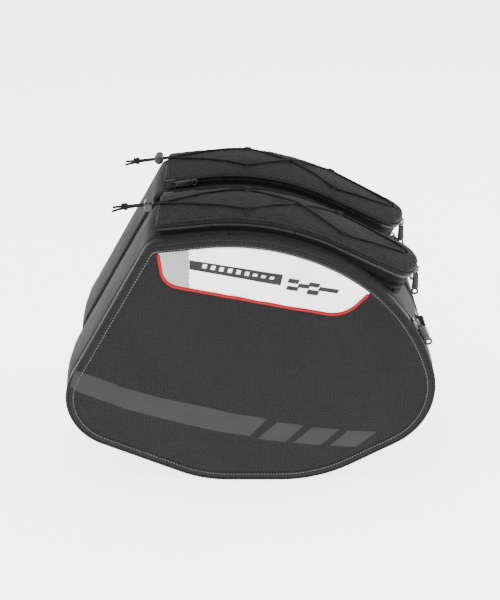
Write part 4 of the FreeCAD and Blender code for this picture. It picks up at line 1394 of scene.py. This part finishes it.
class BAG_OT_lacing(bpy.types.Operator):
    """Lacing cords and the webbing loops that hold them on the crowns"""

    bl_idname = "bag.lacing"
    bl_label = "Lacing"

    def execute(self, context):
        for side in SIDES:
            dress_node(f"{side}_lacing_cord", "elastic_cord")
        loops = []
        for s, w, turn in (
            (109.04, LOOP_OUT_W, 0), (223.0, LOOP_OUT_W, 0), (109.04, LOOP_IN_W, 2), (223.0, LOOP_IN_W, 2),
            (S_END - 22.0, CROWN_MID_W, 1),
        ):
            loops.append(self.loop(s, w, turn))
        fit_pair(joined(loops, "webbing_loops"), "webbing_loops", ("lacing_loops",), "crown")
        return {"FINISHED"}

    def loop(self, s, w, turn):
        """Tape folded over the cord at (s, w): foot, arch and toe."""
        path = np.array((
            (-13.0, -1.1), (-9.0, -1.0), (-5.6, -0.9), (-4.2, -0.3), (-3.6, 1.2), (-2.6, 2.5), (-0.9, 3.1),
            (0.9, 3.1), (2.6, 2.5), (3.6, 1.2), (4.2, -0.3), (5.4, -0.9), (8.2, -1.1),
        ))

        def place(u, v):
            a, h = share_of(path, u).T
            h = h + LACE_LOW
            b = (v - 0.5) * 8.0
            if turn == 1:
                return on_crown(s - a, w + b, h)
            return on_crown(s + b, w + a * (-1 if turn == 0 else 1), h)

        def flat(u, v):
            return u * lengths(path)[-1], v * 8.0

        tape = cloth("loop", 34, 6, place, flat, inside=crown_point(s, w, 8.0))
        dress(tape, "webbing", "webbing")
        lined(tape, 1.1)
        return tape


class BAG_OT_hardware(bpy.types.Operator):
    """Sliders, pulls, cord locks and buckles"""

    bl_idname = "bag.hardware"
    bl_label = "Hardware"

    def execute(self, context):
        for side in SIDES:
            for node in ("crown_slider", "front_slider", "main_slider"):
                dress_node(f"{side}_{node}", "slider_metal")
            dress_node(f"{side}_cord_lock", "lock_plastic")
            dress_node(f"{side}_lock_button", "lock_plastic")
            dress_node(f"{side}_anchor_buckle", "buckle_plastic")
        for name, pivot, down in (
            ("crown_pull", (212.2, -83.0, 268.3), (0.0, -1.0)),
            ("front_pull", (-105.2, -22.2, 344.1), tuple(FRONT_RUN)),
            ("main_pull", (207.6, -147.5, 223.5), (0.5225, -0.8526)),
        ):
            tab = self.tab(name, pivot, down)
            fit_pair(tab, name.replace("pull", "tab"), (name,), name)
        return {"FINISHED"}

    def tab(self, name, pivot, down):
        """Moulded grip with ribs and a metal eyelet, hung by a wire bail from its pivot."""
        bm = bmesh.new()
        grip = bmesh.ops.create_cube(bm, size=1.0)["verts"]
        bmesh.ops.scale(bm, vec=(21.0, 9.0, 3.2), verts=grip)
        bmesh.ops.translate(bm, verts=grip, vec=(17.0, 0, 0))
        for v in grip:
            v.co.y *= 0.8 if v.co.x < 15 else 1.0
        bmesh.ops.bevel(bm, geom=bm.edges[:], offset=1.1, segments=3, affect="EDGES", profile=0.5, material=-1)
        for k in range(5):
            rib = bmesh.ops.create_cube(bm, size=1.0)["verts"]
            bmesh.ops.scale(bm, vec=(1.1, 6.4, 4.0), verts=rib)
            bmesh.ops.translate(bm, verts=rib, vec=(11.5 + k * 2.9, 0, 0))
            edges = list(dict.fromkeys(e for v in rib for e in v.link_edges))
            bmesh.ops.bevel(bm, geom=edges, offset=0.35, segments=2, affect="EDGES", profile=0.5, material=-1)
        for along, radius, wire, deep, metal in (
            (31.4, 3.9, 1.15, 1.0, 0), (31.4, 3.0, 0.75, 1.9, 1),
            (2.6, 2.9, 0.7, 1.0, 1), (6.4, 1.9, 0.7, 1.0, 1),
        ):
            turn = spun_ring(bm, radius, wire, 28, deep)
            bmesh.ops.translate(bm, verts=turn, vec=(along, 0, 0))
            for face in {f for v in turn for f in v.link_faces}:
                face.material_index = metal
        x = Vector((down[0], 0, down[1]))
        z = Vector((0, -1, 0))
        turn = Matrix((x, z.cross(x), z)).transposed()
        bmesh.ops.rotate(bm, verts=bm.verts, cent=(0, 0, 0), matrix=turn)
        bmesh.ops.translate(bm, verts=bm.verts, vec=pivot)
        bmesh.ops.scale(bm, vec=(MM, MM, MM), verts=bm.verts)
        bmesh.ops.remove_doubles(bm, verts=bm.verts, dist=1e-7)
        bmesh.ops.recalc_face_normals(bm, faces=bm.faces)
        return dress(made(name, bm, smooth=True), "pull_rubber", "ring_metal")


class BAG_OT_straps(bpy.types.Operator):
    """Reflective anchor patches with their webbing loops, and the hook-and-loop link tapes"""

    bl_idname = "bag.straps"
    bl_label = "Straps"

    def execute(self, context):
        def on_shoulder(degrees, w, out):
            a = np.radians(degrees)
            x = SHOULDER_CENTRE[0] + (SHOULDER_R + out) * np.cos(a)
            return np.stack([x, -w, SHOULDER_CENTRE[1] + (SHOULDER_R + out) * np.sin(a)], -1)

        patch = cloth(
            "patch", 24, 20, lambda u, v: on_shoulder(13.0 + u * 14.0, 72.0 + v * 46.0, 1.25 + 0 * u),
            lambda u, v: (u * 60.0, v * 46.0), inside=(0.0, -95.0, 120.0),
        )
        dress(patch, "reflective_tape", "reflective_tape")
        lined(patch, 1.1)
        path = np.array((
            (-9.0, 1.4), (-6.0, 1.8), (-4.2, 3.2), (-3.4, 5.6), (-2.4, 7.6), (0.0, 8.4),
            (2.4, 7.6), (3.4, 5.6), (4.2, 3.2), (6.0, 1.8), (11.0, 1.4),
        ))

        def keeper(u, v):
            a, out = share_of(path, u).T
            return on_shoulder(25.5 - np.degrees(a / SHOULDER_R), 84.2 + v * 21.6, out)

        loop = cloth(
            "keeper", 30, 8, keeper, lambda u, v: (u * lengths(path)[-1], v * 21.6), inside=(0.0, -95.0, 120.0)
        )
        dress(loop, "webbing", "webbing")
        lined(loop, 1.2)
        spots = []
        for a in (-8.5, 9.5):
            for k in range(8):
                spots.append((25.5 - math.degrees(a / SHOULDER_R), 86.0 + k * 2.6))
        for k in range(24):
            spots.append((13.6 + k * 0.56, 74.0))
            spots.append((13.6 + k * 0.56, 116.0))
        degrees = np.array([p[0] for p in spots])
        w = np.array([p[1] for p in spots])
        line = on_shoulder(degrees, w, np.full(len(w), 1.6))
        up = on_shoulder(degrees, w, np.full(len(w), 2.6)) - line
        along = np.tile((0.0, 1.0, 0.0), (len(w), 1))
        along[16:] = (on_shoulder(degrees + 0.1, w, np.full(len(w), 1.6)) - line)[16:]
        dash = dress(blocks("stitches", line, along, up, (1.7, 0.6, 0.5), 0.7), "dark_thread")
        strap = joined([patch, loop, dash], "anchor_strap")
        fit_pair(strap, "anchor_strap", ("anchor_patch",), "bag")

        track = Track(((-25.0, 190.0, 6.0), (-25.0, 318.0, 6.0), (25.0, 318.0, 6.0), (25.0, 190.0, 6.0)))
        profile = [(0.0, BACK_W - 0.4, 0.0), (0.0, BACK_W - 1.3, 0.0), (0.5, BACK_W - 1.8, 0.0)]
        profile += [(0.5, BACK_W - 1.8, t) for t in np.linspace(0, 1, 14)[1:]]
        rows = np.array(profile)

        def flat(u, v):
            i = np.rint(v * (len(rows) - 1)).astype(int)
            p, _, n = track.at(u * track.length)
            p = p + (np.array((0.0, 254.0)) - p) * rows[i, 2][:, None]
            return p[:, 0], p[:, 1]

        link = pad_rows(profile, track, (0.0, 254.0), "link_tape", 120, (0.0, -40.0, 254.0), flat)
        dress(link, "hook_loop", "hook_loop")
        fit_pair(link, "link_tape", ("link_strap",), "bag")
        return {"FINISHED"}


PIECES = (
    BAG_OT_stage,
    BAG_OT_cord_tails,
    BAG_OT_gusset,
    BAG_OT_back_pad,
    BAG_OT_outer_panel,
    BAG_OT_reflector,
    BAG_OT_printed_band,
    BAG_OT_main_zip,
    BAG_OT_bellows,
    BAG_OT_crown,
    BAG_OT_crown_zip,
    BAG_OT_lacing,
    BAG_OT_hardware,
    BAG_OT_straps,
)


class BAG_PT_pieces(bpy.types.Panel):
    """The pieces of the saddlebag pair, in the order they are made"""

    bl_idname = "BAG_PT_pieces"
    bl_label = "Saddlebag Pair"
    bl_space_type = "VIEW_3D"
    bl_region_type = "UI"
    bl_category = "Saddlebags"

    def draw(self, context):
        for group in (context.scene.bag_sizes, context.scene.bag_colours):
            box = self.layout.box()
            for name in group.bl_rna.properties.keys():
                if name not in ("rna_type", "name"):
                    box.prop(group, name)
        for piece in PIECES:
            self.layout.operator(piece.bl_idname)


CLASSES = (BagSizes, BagColours, *PIECES, BAG_PT_pieces)


def register():
    for kind in CLASSES:
        bpy.utils.register_class(kind)
    bpy.types.Scene.bag_sizes = bpy.props.PointerProperty(type=BagSizes)
    bpy.types.Scene.bag_colours = bpy.props.PointerProperty(type=BagColours)


def unregister():
    del bpy.types.Scene.bag_colours
    del bpy.types.Scene.bag_sizes
    for kind in reversed(CLASSES):
        bpy.utils.unregister_class(kind)


def main():
    register()
    for piece in PIECES:
        group, name = piece.bl_idname.split(".")
        getattr(getattr(bpy.ops, group), name)()


if __name__ == "__main__":
    main()
